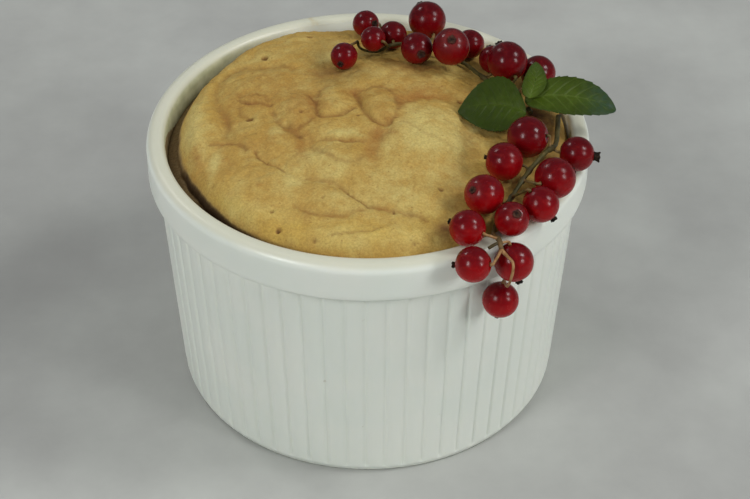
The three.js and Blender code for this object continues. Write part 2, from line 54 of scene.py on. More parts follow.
# Dish: a straight-tapered wall of reeds under a plain band.
DISH_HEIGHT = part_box("dish")[1].z / MM
FOOT_RADIUS = 51.5
FOOT_ROUNDING = 1.6
BODY_TOP_RADIUS = 55.1
BAND_RADIUS = 57.5
BAND_HEIGHT = 10.6
BAND_EDGE = 0.8
BAND_COVE = 0.6  # of the hollow corner under the band
RIM_INNER_RADIUS = 52.7
RIM_OUTER_ROUNDING = 2.5
RIM_INNER_ROUNDING = 1.5
FLOOR_THICKNESS = 5
FLOOR_RADIUS = 47.6
FLOOR_FILLET = 4
REED_COUNT = 65
REED_START = math.radians(269.4)
REED_CROWN = 0.15
GROOVE_DEPTH = 0.36
GROOVE_HALF_WIDTH = 0.16  # in reed widths
REED_FOOT = 1.7
REED_TOP = DISH_HEIGHT - BAND_HEIGHT - 1.0
REED_FADE = 1.6  # height over which a groove runs out at either end
# Shares of a reed's width at which the wall has points, up to its middle: closest in the groove.
REED_POINTS = [0, 0.03, 0.06, 0.1, 0.14, 0.19, 0.33]

# How high the baked film reaches on the inner wall: azimuth in degrees, height.
FILM_TOP = [
    (0, 60), (80, 60), (120, 61), (145, 62.5), (160, 64.5), (172, 69), (182, 72.4), (192, 73.2), (250, 73.2),
    (262, 72), (275, 60),
]

# Souffle: it fills the dish and has shrunk from the wall on the left and at the back.
GAP = 0.3
TOUCH = 0.05  # clearance to the wall where it still sticks to it
CROWN_HEIGHT = 80.2
SHOULDER_HEIGHT = 74.6
SHOULDER_ROUNDING = 5.5
SHRINK_TOP = 68
SHRINK_FLOOR = 56
# How far it has shrunk: azimuth in degrees, width of the gap beyond the usual clearance.
SHRINKAGE = [
    (52, 0), (98, 3), (116, 0.4), (124, 0.2), (150, 2.6), (190, 2.9), (214, 3.1), (236, 1.3), (254, 0.5),
    (270, 0),
]
# Where a collar of it still fills the gap up to SHRINK_TOP: azimuth in degrees, share.
COLLAR = [(90, 0), (115, 1), (203, 1), (214, 0)]
# Where the crust's edge is darkened underneath, in the same terms: partly burnt, partly painted shade in the
# gap below it.
BURNT_AND_SHADED_EDGE = [(192, 0), (203, 0.9), (232, 0.9), (252, 0)]

# Swellings of the crust: x, y, half sizes across and along, rise, and turn in degrees if turned.
SWELLINGS = [
    (14.7, -11.5, 10.5, 14, 1.8, 4), (2.9, 0.8, 4.8, 8, 1.5, -8), (-9.7, 4.2, 3.8, 6.5, 1, 4),
    (-18.5, 2, 4.6, 5.6, 0.8, 10), (-29, 15, 7, 7.5, 0.9, -10), (-27, -10, 6, 7, 0.7, 25),
    (-43, 0, 4, 20, 0.8, -4), (-18, 35, 18, 7.5, 0.7, 12), (-29, -29, 11, 8, 1.1, -40),
    (-8, -20.5, 8.5, 5.5, 0.9, -14), (-10, -34.5, 8, 3.6, 0.8, -28), (14, -34, 10, 5, 0.6, 8),
    (0, -47, 22, 3.5, 0.7), (10, 18, 13, 7, 0.8, 6),
]

# Creases between the swellings: route, half width, depth.
CREASES = [
    ([(-36.5, 24.5), (-39.5, 19), (-40.2, 10), (-38.8, 4.5), (-36.2, -2), (-36.5, -7)], 1.8, 1),
    ([(-36.5, 24.5), (-29, 24), (-22, 23), (-14, 18)], 1.8, 0.7),
    ([(-13.8, 9), (-13.4, 2), (-12.6, -2.6), (-7, -2)], 1.3, 0.9),
    ([(-3.6, 8.5), (-2.4, 3), (-1, -2), (1.8, -5.6), (4.8, -6.8)], 1.3, 1),
    ([(-25, 2), (-22.5, -4.5), (-18, -8.5), (-15, -12), (-13.5, -17)], 2.2, 1.1),
    ([(4.5, -9), (1.8, -14), (0.8, -22)], 2.2, 0.9),
    ([(7.5, 3.5), (15, 6.5), (23.5, 6)], 2, 0.9),
    ([(-28, -15.5), (-24.7, -20.3), (-15.3, -26.7), (-7, -30), (0, -36.7), (9, -39.5)], 1.2, 0.9),
    ([(-18, -36), (-12, -39.2), (-3, -40)], 1.2, 0.6),
    ([(24.8, -4), (25, -14), (24.6, -24)], 1.3, 0.6),
]
CREASE_SOFTNESS = 0.7  # the baked skin bridges part of their depth
CRUST_COLUMNS = 800
CRUST_MIDDLE = 24  # radius within which the rings have fewer points
# Those rings, zone by zone: least and greatest radius, step, how many times fewer points.
CRUST_ZONES = [(12, 24, 0.38, 2), (6, 12, 0.38, 4), (3, 6, 0.38, 8), (0.4, 3, 0.4, 16)]

# Wrinkles and hairline cracks of the crust, finer than the creases: route, half width, depth.
CRACKS = [
    ([(-36.7, 24.3), (-39.5, 19.5), (-40.3, 14), (-40.1, 10), (-39, 5.3), (-36.7, -0.7),
      (-35.8, -3.5), (-36.7, -7)], 0.8, 0.25),
    ([(-36.7, 24.3), (-32.7, 24.7), (-28.7, 23.5), (-23.3, 24), (-20, 21.5)], 0.9, 0.22),
    ([(-33.7, 7.3), (-30.7, 5.5), (-28, 5), (-25.3, 4)], 0.5, 0.38),
    ([(-35, 10.5), (-32.8, 8.6), (-29.6, 9.2), (-27, 8), (-25.6, 5.6)], 0.6, 0.2),
    ([(-33.7, 4.5), (-32.9, 0.7), (-30.3, -2.2)], 0.7, 0.25),
    ([(-24.7, 1), (-23.3, -3.3), (-21.3, -6.7), (-18.7, -8.7)], 0.6, 0.32),
    ([(-20.5, -6), (-18.7, -8.3), (-17.3, -10.5)], 1, 0.42),
    ([(-18.7, -8), (-15.3, -4.9), (-13.8, -2.7)], 0.6, 0.3),
    ([(-15.3, 6.9), (-13.8, 3.5), (-13.2, -1.5), (-11.4, -3.2), (-7.3, -2.2), (-3.3, 0.7)], 0.55, 0.42),
    ([(-13.2, 6.7), (-12.6, 9), (-10.5, 11)], 0.6, 0.25),
    ([(-3.3, 8.5), (-2.4, 4), (-1.4, -1), (0.4, -4.2), (2.8, -6.4), (5.4, -6.6), (7.2, -4.6)], 0.5, 0.42),
    ([(7.2, -4.6), (8, 0), (7.4, 5), (5.3, 8.7), (1.3, 10.2), (-2.4, 8.6)], 0.55, 0.26),
    ([(-28, -15.5), (-27.1, -17.8), (-25.9, -19.2)], 0.42, 0.6),
    ([(-25.9, -19.2), (-24.2, -20.8), (-22, -22.7), (-20.7, -24)], 0.45, 0.34),
    ([(-15.3, -26.7), (-12.7, -27.3), (-10, -28), (-7.3, -29.8)], 0.6, 0.28),
    ([(-6.8, -30.4), (-5.5, -31.5), (-3.3, -34), (0, -36.7)], 0.42, 0.5),
    ([(0, -36.7), (3.3, -37.6), (6.7, -38.3), (10, -39.7), (14, -41.7)], 0.5, 0.32),
    ([(-8.7, -47), (-3.3, -46), (0.7, -45.7), (3.5, -44.5)], 0.45, 0.26),
    ([(-18, -36), (-15.3, -38.5), (-11.3, -39.4), (-6, -40), (-0.7, -38.6)], 0.6, 0.24),
    ([(-40, -11), (-36, -10.7), (-32.7, -12.3), (-30.7, -14.7)], 0.6, 0.28),
    ([(-14.5, -15), (-11.4, -17.9), (-7.8, -21.8), (-3, -22.5), (-1.2, -19.5)], 0.7, 0.26),
    ([(-12, -12.3), (-6, -13.2), (-1, -13.5)], 0.6, 0.22),
    ([(9.5, -6.5), (13.5, -11), (18, -14), (22, -16)], 0.7, 0.15),
]

# Burst bubbles in the crust: x, y, radius, depth.
PITS = [
    (-30.5, -2, 0.8, 1.1), (-21.5, -43.3, 0.55, 1.1), (-28, 28.5, 0.8, 1.1), (-16, 39, 0.7, 1),
    (-17.3, -1, 0.42, 0.7), (-2.5, -3, 0.42, 0.8), (-12.7, -47.5, 0.4, 0.5), (-23.3, -38, 0.4, 0.5),
    (-11, -34.7, 0.34, 0.4), (-8.5, -46.9, 0.34, 0.4), (6.3, -38.7, 0.42, 0.6), (18, -31.3, 0.6, 0.6),
    (11.2, -48.4, 0.34, 0.4), (0.5, -27.2, 0.3, 0.35), (24, 5.7, 0.5, 0.6),
]
# Pores strewn over the crust: how many, how far out, least and greatest radius.
PORES = (260, 50, 0.14, 0.3)

# Browned patches of the crust, some of them painted shade beside the currants: x, y, half sizes across and
# along, strength, turn if turned.
BROWNED_AND_SHADED = [
    (-43, -15, 1.8, 6, 0.5, 12), (-36.5, -11.5, 5, 1.4, 0.4, -5), (-35.5, -19, 1.6, 5, 0.35, 20),
    (-26.7, -29.3, 1, 1.2, 0.5), (-19, -8, 3.4, 3.2, 0.3), (-15.3, -11.5, 3, 2.8, 0.3),
    (-16.5, -17, 1.8, 5, 0.45, 8), (-30, 6, 5.5, 3, 0.4, -15), (-36.5, 1, 2, 7, 0.4, 10),
    (-5.5, -13.2, 6, 1.1, 0.5), (1.6, -15, 2.4, 7, 0.75, -6), (4.5, -10.5, 3.4, 2.4, 0.6, -20),
    (8.3, 1, 1.4, 6, 0.45), (10.5, 4.6, 4, 2.2, 0.7, 24), (17, 6.8, 7, 1.8, 0.65), (-3, 6, 1.8, 4.4, 0.45),
    (-4.5, 8.5, 2.6, 2.5, 0.45), (-14.3, 4, 1.6, 5, 0.4), (2.8, -37.4, 2.6, 0.8, 0.5, -10),
    (-14.8, -40, 1.2, 3, 0.45), (-9, -40, 5, 0.9, 0.35, -8), (-12.5, 18.5, 4, 3, 0.55),
    (5, 24.5, 4, 3, 0.5), (14, 20, 7, 3, 0.5), (24, 5.7, 0.8, 0.6, 0.9), (-26, 14, 11, 9, 0.35),
    (-25, -14, 9, 7, 0.25), (26.8, -14, 2.5, 8, 0.35), (24, -33, 5, 6, 0.3), (14, 10.5, 8, 3.4, 0.55, 6),
    (3, 8, 4, 3.6, 0.35), (3, 0, 3.4, 5, 0.3), (5, -5, 2.2, 1.8, 0.5, -20), (-14, 0, 8, 7, 0.3),
    (11, 20, 9, 6, 0.25), (-19, 4, 6, 6, 0.25), (30, 10, 6, 5, 0.4),
]

# Pale patches, in the same terms. The narrow one at x 22.6, on the right flank of the big swelling, is a
# painted highlight.
PALE = [
    (14.7, -11.5, 9, 12, 0.8, 4), (22.6, -14, 1.3, 9, 0.5), (-38.4, -18.7, 1.7, 5.5, 1, -6),
    (-45, 1, 2.8, 10, 0.9, -4), (-19, -28.5, 3.2, 5, 0.6), (-10, -20, 7, 3.2, 0.6, -18),
    (-6.5, -9.7, 4, 1.8, 0.7), (-9.8, 4.5, 2, 5, 0.3), (6.5, 17.5, 8.5, 3.5, 0.3, 6),
    (21, 17.5, 5, 3.5, 0.35, 30), (-17, 12.5, 3.6, 3, 0.4), (-34, -34, 6, 3.5, 0.5, -42),
    (-24, -9.5, 2.4, 3.4, 0.35), (4, -27, 5, 3, 0.3), (14, -38, 6, 3.5, 0.5), (0, -47, 14, 2.4, 0.5),
    (-28, 28, 4, 2, 0.3), (-9, 28, 5, 5, 0.45), (27, -10, 2, 5, 0.2), (-42, -12, 2, 5, 0.3),
    (-25, -38, 6, 3, 0.4, -30), (-4, -35, 7, 4, 0.45, -20), (6, -33, 6, 4, 0.45),
    (-10, -25, 6, 3, 0.35, -15), (-43, -5, 2.5, 5, 0.4),
]

# Yellower patches, in the same terms.
GOLDEN = [
    (-37, -33, 8, 5, 0.8, -45), (-22, -44, 10, 5, 0.8, -25), (0, -46, 14, 4, 0.6), (20, -40, 8, 5, 0.5),
    (28, -22, 5, 9, 0.6), (27, 2, 6, 5, 0.5), (4, 26, 6, 6, 0.4), (-43, 10, 4, 16, 0.3),
    (22, 18, 8, 5, 0.5),
]

# Stains of fruit juice, and painted shade under the leaves, in the same terms.
STAINS_AND_SHADE = [
    (45, -3, 5, 9, 0.9), (40, 4, 5, 4, 0.7), (18.7, -44, 2.4, 2.6, 0.9), (-8, 18.2, 3.4, 2, 0.5),
    (13, 20.5, 5, 1.6, 0.45), (28, -34, 3, 4, 0.4),
]

# Painted shadow of the fruit: the crust darker beside the currants, in the same terms.
FRUIT_SHADOWS = [
    (25.5, -13, 3.2, 8, 0.34), (23, -26, 3.6, 6, 0.34), (20.5, -37.5, 3, 4.5, 0.45),
    (-9.5, 14, 4.5, 4, 0.36), (-3, 17, 5, 3.5, 0.25), (4, 22.5, 5, 3.5, 0.34), (-12.5, 27, 2.8, 7, 0.36),
    (14, 16.5, 6, 3, 0.36),
]

# The patches by the names that the crust's material has for them, and the most they add up to.
PATCHES = {
    "brown": (BROWNED_AND_SHADED, math.inf), "pale": (PALE, math.inf), "gold": (GOLDEN, 1), "stain": (STAINS_AND_SHADE, 1),
    "damp": (FRUIT_SHADOWS, 0.6),
}

# How browned the crust's edge is: azimuth in degrees, strength.
EDGE_BROWN = [
    (0, 0.2), (60, 0.3), (100, 0.4), (140, 0.5), (165, 0.3), (180, 0.1), (205, 0.2), (222, 0.35), (250, 0.5),
    (262, 0.5), (270, 0.35), (280, 0.2), (300, 0.3), (330, 0.2), (360, 0.2),
]

# Sprig stalks and the mint, as in the solids.
STALK_RADIUS = 0.65
PEDICEL_RADIUS = 0.4
PEDICEL_LEAD = 0.8
TUBE_SIDES = 12
BACK_STALK = [
    (37.5, 4, 79.3), (33.5, 12, 79.2), (29, 18.5, 79.2), (25, 23.5, 79.5), (19, 27.5, 80.2), (13.5, 29, 81),
    (9.5, 28.2, 82.2), (5.8, 27.5, 82), (3.2, 28.2, 79.9), (0, 28.4, 79.6), (-2.2, 28.4, 80.7),
    (-2.9, 28.9, 82.3),
]
FRONT_STALK = [
    (49.5, 2.5, 76.4), (48.7, -4.5, 77.5), (47.2, -14.5, 79.6), (44.2, -20, 81.2), (40.1, -26.2, 80.6),
    (37.5, -30.2, 79.4), (34.8, -34.8, 78), (31.9, -39.8, 76.5), (30.1, -46, 76.2), (31.1, -50.2, 77.6),
    (31.6, -53.3, 77),
]
SPUR = [(31.2, -51.2, 77.6), (29.9, -52, 77.5), (28.5, -52.6, 76.9)]
# Where the pedicels of two currants go on their way.
VIA = {
    "back_1": [(2.6, 31.5, 79.7), (3.6, 37.5, 79), (2.6, 44.3, 78.6)],
    "hanging_3": [(32.9, -55.1, 76.5), (34.2, -56.6, 75.6), (34, -57.9, 73), (33.3, -55.8, 67.9)],
}

# A dried flower from its foot round its lip to its hollow: radius, height, raggedness, in its size.
FLOWER_PROFILE = [
    (1.2, -0.6, 0), (1.1, -0.05, 0.03), (0.92, 0.3, 0.05), (0.95, 0.75, 0.06), (1.1, 1.1, 0.08),
    (1.16, 1.3, 0.1), (1.0, 1.42, 0.1), (0.7, 1.1, 0.08), (0.4, 0.3, 0.04),
]
# The usual flower and the others: size, how far it stands out, how far its scar reaches.
USUAL_FLOWER = (0.75, 1, 0.045)
FLOWERS = {
    "front_1": (0.45, 0.6, 0.03), "front_2": (0.5, 0.7, 0.03), "front_3": (1.05, 1, 0.045),
    "front_5": (0.7, 0, 0.1), "front_7": (0.85, 0.1, 0.1), "front_8": (0.6, 1, 0.045),
    "hanging_1": (0.65, 1, 0.03), "hanging_3": (0.45, 0.8, 0.03), "back_1": (0.75, 0.6, 0.045),
    "back_4": (0.7, 0.5, 0.045), "back_7": (0.9, 0.2, 0.08), "back_8": (0.9, 0.1, 0.2),
}

MINT_STALK = [(42.3, 2.6, 77.6), (41.7, 0.4, 79.6), (41.2, -1.4, 81.4)]
LEAVES = {
    "mint_leaf_left": dict(
        base=(40.4, -3.9, 81.9), tip=(23.1, -1.4, 80.3), width=16.6, roll=-20, arch=1.5, sweep=-1.5,
        fold=0.1, base_power=0.72, tip_power=0.92, tone=0.1, veins=0.04, bloom=0.05, tooth=0.02,
    ),
    "mint_leaf_right": dict(
        base=(40.4, 0.9, 82.7), tip=(63.6, -2.2, 81.5), width=11, roll=22, arch=1.5, sweep=1.8,
        fold=0.12, base_power=0.62, tip_power=0.66, tone=0.3, veins=0.4, bloom=1.2, tooth=0.03,
    ),
    "mint_leaf_small": dict(
        base=(41.4, -0.9, 84.3), tip=(43.6, 10.4, 87.8), width=5.3, roll=0, arch=0.6, sweep=-0.7,
        fold=0.15, base_power=0.55, tip_power=0.85, tone=0.4, veins=0.35, bloom=0.3, tooth=0.035,
    ),
}
LEAF_THICKNESS = 0.4
LEAF_STUB = 0.5
LEAF_TEETH = 11
LEAF_STATIONS = 150
LEAF_COLUMNS = 61
SIDE_VEINS = np.arange(0.04, 0.86, 0.125)  # where they leave the midrib, in leaf lengths

# Stage, in metres. Floor shades, darker spots on the floor: x, y, depth; the first is a painted shadow left
# of the dish. Lights: way to it, distance, width, height, watts.
FLOOR_SHADES = [(-0.11, 0.04, 0.57), (0.11, -0.07, 0.45)]
FLOOR_SHADE_REACH = 0.12
FLOOR_HALF = 2.5
LIT_HEIGHT = 0.07
LIGHTS = {
    "key_high": ((0.68, -0.07, 0.73), 1.2, 0.26, 0.36, 4.4),
    "key_low": ((0.73, -0.49, 0.47), 1.2, 0.24, 0.3, 3.4),
    "fill_upper": ((-0.54, -0.54, 0.66), 1.2, 0.26, 0.16, 2.2),
    "fill_lower": ((-0.56, -0.65, 0.52), 1.2, 0.26, 0.16, 2.8),
    "fill_back": ((-0.55, 0.5, 0.67), 1.2, 0.2, 0.2, 1.6),
    "ceiling": ((-0.12, 0.02, 0.99), 1.6, 1.1, 1.1, 3.4),
}
ROOM_COLOUR = (0.93, 0.97, 1.0, 1)
ROOM_STRENGTH = 0.18

# The photograph's camera: its place and axes come from the ellipses of the rim and the foot.
CAMERA_PLACE = (0, -0.386514, 0.348618)
CAMERA_RIGHT = (0.99999104, -0.00213094, 0.00365657)
CAMERA_UP = (-0.0014884, 0.63172201, 0.77519358)
CAMERA_BACK = (-0.00396182, -0.77519208, 0.63171318)
CAMERA_LENS = 87.36


# ---------- numbers


def smooth_step(t):
    t = np.clip(t, 0, 1)
    return t * t * (3 - 2 * t)


def bell(distance, width):
    """1 at no distance, a third at the width and next to nothing at twice the width."""
    return np.exp(-((distance / width) ** 2))


def unit_rows(vectors):
    return vectors / np.linalg.norm(vectors, axis=1)[:, None]


def polar(points):
    """The azimuth in radians and the radius of each point."""
    return np.arctan2(points[:, 1], points[:, 0]), np.hypot(points[:, 0], points[:, 1])


def gradient_noise(points, wavelength, seed):
    """Smooth 3-D noise, about -1 to 1, at each row of points."""
    rng = np.random.default_rng(seed)
    table = rng.permutation(256)
    slopes = unit_rows(rng.normal(size=(256, 3)))
    scaled = np.asarray(points, float) / wavelength
    cell = np.floor(scaled).astype(int)
    within = scaled - cell
    fade = within ** 3 * (within * (within * 6 - 15) + 10)
    total = np.zeros(len(scaled))
    for corner in np.ndindex(2, 2, 2):
        key = 0
        for at in (cell + corner).T:
            key = table[(key + at) & 255]
        weight = np.where(corner, fade, 1 - fade).prod(axis=1)
        total += weight * ((within - corner) * slopes[key]).sum(axis=1)
    return total * 1.7


def layered_noise(points, wavelength, seed):
    total = np.zeros(len(points))
    for layer in range(3):
        total += gradient_noise(points, wavelength / 2 ** layer, seed + layer) / 2 ** layer
    return total


def sway(points, wavelength, seed):
    """Noise in each of the three directions."""
    return np.column_stack([gradient_noise(points, wavelength, seed + axis) for axis in range(3)])


def plan(points):
    """The points moved down to z = 0, so that noise over them doesn't change with height."""
    return points * (1, 1, 0)


def distance_to_route(points, route):
    nearest = np.full(len(points), np.inf)
    corners = np.array(route, float)
    for start, end in zip(corners, corners[1:]):
        leg = end - start
        share = np.clip((points[:, :2] - start) @ leg / (leg @ leg), 0, 1)
        foot = start + share[:, None] * leg
        nearest = np.minimum(nearest, np.linalg.norm(points[:, :2] - foot, axis=1))
    return nearest


def patch(points, x, y, across, along, turn=0, power=1):
    """1 in the middle of an oval of those half sizes, falling off more steeply for a higher power."""
    c, s = math.cos(math.radians(turn)), math.sin(math.radians(turn))
    a = (c * (points[:, 0] - x) + s * (points[:, 1] - y)) / across
    b = (c * (points[:, 1] - y) - s * (points[:, 0] - x)) / along
    return np.exp(-((a * a + b * b) ** power))


def patches(points, rows, power=1):
    """The summed strength of the patches in the rows at each point."""
    total = np.zeros(len(points))
    for x, y, across, along, strength, *turn in rows:
        total += strength * patch(points, x, y, across, along, *turn, power=power)
    return total


# ---------- meshes


def ring(radius, z, azimuths):
    return np.column_stack([radius * np.cos(azimuths), radius * np.sin(azimuths), z + 0 * azimuths])


def even_azimuths(count):
    return np.arange(count) / count * TURN


def stitch(rings):
    """Points and faces of a closed skin through the rings. A ring has as many points as the one
    before it, or half as many. A point in the middle closes each end."""
    points = np.concatenate([rings[0].mean(axis=0)[None], *rings, rings[-1].mean(axis=0)[None]])
    n = np.arange(len(rings[0]))
    faces = np.column_stack([0 * n, 1 + np.roll(n, -1), 1 + n]).tolist()
    base = 1
    for lower, upper in zip(rings, rings[1:]):
        top = base + len(lower)
        j = np.arange(len(upper))
        k = np.roll(j, -1)
        if len(lower) == len(upper):
            faces += np.column_stack([base + j, base + k, top + k, top + j]).tolist()
        else:
            even, odd, after = base + 2 * j, base + 2 * j + 1, base + 2 * k
            faces += np.column_stack([even, odd, top + j]).tolist()
            faces += np.column_stack([odd, after, top + k]).tolist()
            faces += np.column_stack([odd, top + k, top + j]).tolist()
        base = top
    n = np.arange(len(rings[-1]))
    faces += np.column_stack([base + n, base + np.roll(n, -1), 0 * n + base + len(n)]).tolist()
    return points, faces


class Skin:
    """Gathers points, faces, the material of each face and named values of each point."""

    def __init__(self, *block, **values):
        self.points = np.zeros((0, 3))
        self.faces = []
        self.face_materials = []
        self.values = {}
        self.add(*block, **values)

    def add(self, points, faces, material=0, **values):
        base = len(self.points)
        self.points = np.concatenate([self.points, points])
        self.faces += [[base + i for i in face] for face in faces]
        self.face_materials += [material] * len(faces)
        for name in sorted({*self.values, *values}):
            old = self.values.get(name, np.zeros(base))
            new = np.broadcast_to(values.get(name, 0), len(points))
            self.values[name] = np.concatenate([old, new])


def link(name, data):
    thing = bpy.data.objects.new(name, data)
    bpy.context.scene.collection.objects.link(thing)
    return thing


def add_piece(name, skin, materials, slot, *nodes):
    """Makes the skin a piece on the body, in place of the CAD nodes. The slot argument is not used."""
    mesh = bpy.data.meshes.new(name)
    mesh.from_pydata((skin.points * MM).tolist(), [], skin.faces)
    mesh.polygons.foreach_set("use_smooth", [True] * len(skin.faces))
    mesh.polygons.foreach_set("material_index", skin.face_materials)
    for key, values in skin.values.items():
        mesh.attributes.new(key, "FLOAT", "POINT").data.foreach_set("value", values)
    for material in materials:
        mesh.materials.append(material)
    mesh.update()
    piece = link(name, mesh)
    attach(piece, "root")
    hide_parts(*nodes)


# ---------- materials


class Nodes:
    """A short way to write a material's nodes. A name given as an input stands for the mesh's
    values of that name, and a noise is given as its wavelength in millimetres, detail and roughness.
    The material's colour is tint, and coat lays another over it."""

    def __init__(self, name):
        self.material = bpy.data.materials.new(name)
        self.material.use_nodes = True
        self.tree = self.material.node_tree
        self.shader = self.tree.nodes["Principled BSDF"]
        self.place = self.add("TexCoord", {}, "Object")
        self.tint = None

    def add(self, kind, inputs, output, **settings):
        node = self.tree.nodes.new("ShaderNode" + kind)
        for key, value in settings.items():
            setattr(node, key, value)
        for key, value in inputs.items():
            self.link(value, node.inputs[key])
        return node.outputs[output]

    def link(self, source, socket):
        if isinstance(source, (int, float, tuple)):
            socket.default_value = source
            return
        if isinstance(source, str):
            source = self.add("Attribute", {}, "Fac", attribute_name=source)
        self.tree.links.new(source, socket)

    def noise(self, wavelength, detail=3.0, roughness=0.5):
        scale = {"Scale": 1 / (wavelength * MM), "Detail": detail, "Roughness": roughness}
        return self.add("TexNoise", {"Vector": self.place, **scale}, "Fac")

    def plus(self, a, b):
        return self.add("Math", {0: a, 1: b}, 0, operation="ADD")

    def times(self, a, b):
        return self.add("Math", {0: a, 1: b}, 0, operation="MULTIPLY")

    def between(self, value, low, high, start=0.0, end=1.0):
        """From start at low to end at high."""
        inputs = {"Value": value, "From Min": low, "From Max": high, "To Min": start, "To Max": end}
        return self.add("MapRange", inputs, "Result", interpolation_type="SMOOTHSTEP")

    def mix(self, share, a, b, blend="MIX"):
        inputs = {"Factor": share, "A": a, "B": b}
        return self.add("Mix", inputs, "Result", data_type="RGBA", blend_type=blend)

    def bump(self, height, distance, strength=1.0, below=None):
        inputs = {"Height": height, "Distance": distance * MM, "Strength": strength}
        if below:
            inputs["Normal"] = below
        return self.add("Bump", inputs, "Normal")

    def ripple(self, *noise):
        """The noise about 0."""
        return self.plus(self.noise(*noise), -0.5)

    def spread(self, start, end, *noise):
        """The noise from start to end."""
        return self.between(self.noise(*noise), 0.3, 0.7, start, end)

    def mottled(self, first, second, *noise, spread=0.15):
        """The two colours in soft patches of the noise."""
        return self.mix(self.between(self.noise(*noise), 0.5 - spread, 0.5 + spread), first, second)

    def coat(self, share, tint, blend="MIX"):
        self.tint = self.mix(share, self.tint, tint, blend)

    def finish(self, **sockets):
        """Sets or links the shader's sockets, which are named here with _ for a space."""
        for key, value in {"Base_Color": self.tint, **sockets}.items():
            self.link(value, self.shader.inputs[key.replace("_", " ")])
        return self.material


def colour(*display):
    """A linear colour from 0-255 display values."""
    linear = [((v / 255 + 0.055) / 1.055) ** 2.4 if v > 10 else v / 255 / 12.92 for v in display]
    return (*linear, 1.0)


def porcelain_material():
    m = Nodes("glazed_porcelain")
    m.tint = m.mottled(colour(236, 242, 232), colour(240, 244, 234), 18)
    m.coat(m.between(m.noise(2.4, 2), 0.765, 0.79, 0, 0.35), colour(196, 190, 168))
    m.coat(m.times("cream", m.between(m.noise(1.6), 0.35, 0.62)), colour(214, 190, 132))
    # Painted shade and reflection on the inner wall, in olive greys.
    m.coat("haze", m.mottled(colour(166, 170, 112), colour(196, 198, 148), 3, spread=0.2))
    # Painted bounce light from the crust, warming the rim's top.
    m.coat(m.times("warm", 0.7), colour(200, 198, 173))
    stained = m.between(m.plus("film", m.ripple(1.1, 4, 0.65)), 0.3, 0.7)
    brown = m.mottled(colour(152, 135, 99), colour(130, 111, 75), 1.4, 4, 0.6)
    # The film darkens where it is charred, and where shade is painted in the gap at the front left.
    m.coat(stained, m.mix("char", brown, colour(104, 52, 28)))
    roughness = m.plus(m.times(stained, 0.35), m.spread(0.28, 0.38, 18))
    ripple = m.bump(m.noise(5, 2), 0.05, 0.5)
    baked_on = m.bump(m.times(stained, m.noise(0.5)), 0.2, 0.6, ripple)
    return m.finish(
        Roughness=roughness, Normal=baked_on, IOR=1.5,
        Subsurface_Weight=0.2, Subsurface_Radius=(1.0, 0.95, 0.8), Subsurface_Scale=0.0015,
    )


def crust_material():
    m = Nodes("baked_crust")
    mottle = m.ripple(3, 4, 0.6)
    pale = m.plus(m.plus("pale", m.times(m.ripple(8, 4, 0.6), 1.3)), m.times(mottle, 1.1))
    brown = m.plus(m.plus("brown", m.times(m.ripple(1.6, 4, 0.65), 0.6)), m.times(mottle, -0.6))
    grain = m.spread(0, 1, 0.55, 3, 0.7)
    m.tint = colour(187, 152, 77)
    m.coat(m.between(pale, -0.3, 0.95), colour(209, 191, 120))
    m.coat(m.times("gold", m.spread(0.3, 0.9, 5)), colour(208, 176, 84))
    m.coat(m.between(brown, 0.0, 1.2), colour(160, 112, 52))
    # Juice stains, and painted shade under the leaves, in a deep red brown.
    m.coat(m.times("stain", m.between(m.noise(2.5), 0.25, 0.6, 0.5, 1)), colour(104, 58, 32))
    # Painted shadow of the currants on the crust.
    m.coat("damp", colour(98, 76, 40))
    m.coat(0.4, m.mix(grain, colour(176, 158, 112), colour(255, 252, 240)), "MULTIPLY")
    m.coat(m.between(m.noise(0.8, 1), 0.68, 0.78, 0, 0.55), colour(140, 104, 52))
    # Painted shade in the crust's cracks, pits and pores.
    m.coat("dark", m.mottled(colour(104, 68, 30), colour(134, 94, 46), 1, 4))
    m.coat("side", m.mix(grain, colour(122, 100, 66), colour(152, 128, 87)))
    # The edge underneath, partly burnt and partly painted shade in the gap.
    m.coat(m.times("char", 0.9), colour(44, 24, 12))
    fine = m.bump(m.noise(0.45, 4, 0.65), 0.12, 0.5)
    return m.finish(
        Roughness=m.spread(0.62, 0.82, 3), Specular_IOR_Level=0.3,
        Normal=m.bump(m.noise(1.6, 4, 0.6), 0.3, 0.5, fine),
        Subsurface_Weight=0.08, Subsurface_Radius=(1.0, 0.7, 0.35), Subsurface_Scale=0.002,
    )


def currant_material():
    m = Nodes("currant_skin")
    # Painted light: brighter red where light would shine through the berry.
    tone = m.plus("glow", m.times(m.ripple(3), 0.5))
    veins = m.times("vein", m.spread(0, 1, 1.1, 2))
    m.tint = colour(96, 6, 15)
    m.coat(m.between(tone, 0.0, 1.0), colour(172, 11, 15))
    m.coat(m.times(veins, 0.25), colour(200, 56, 48))
    # Deeper red, partly at random and partly painted shade on the currants further back.
    m.coat("ripe", colour(58, 3, 10))
    m.coat("scar", colour(124, 52, 50))
    return m.finish(
        Roughness=m.spread(0.17, 0.28, 1.5), Specular_IOR_Level=0.22,
        Normal=m.bump(m.noise(2.5, 2), 0.05, 0.4),
        Subsurface_Weight=0.35, Subsurface_Radius=(1.0, 0.08, 0.06), Subsurface_Scale=0.003,
    )


def dried_flower_material():
    m = Nodes("dried_flower")
    m.tint = colour(20, 16, 12)
    m.coat(m.between(m.noise(0.5), 0.4, 0.75), colour(54, 42, 28))
    m.coat(m.times("faded", 0.7), m.mottled(colour(62, 28, 26), colour(104, 66, 52), 0.6))
    return m.finish(Roughness=0.8, Specular_IOR_Level=0.15, Normal=m.bump(m.noise(0.3), 0.1))


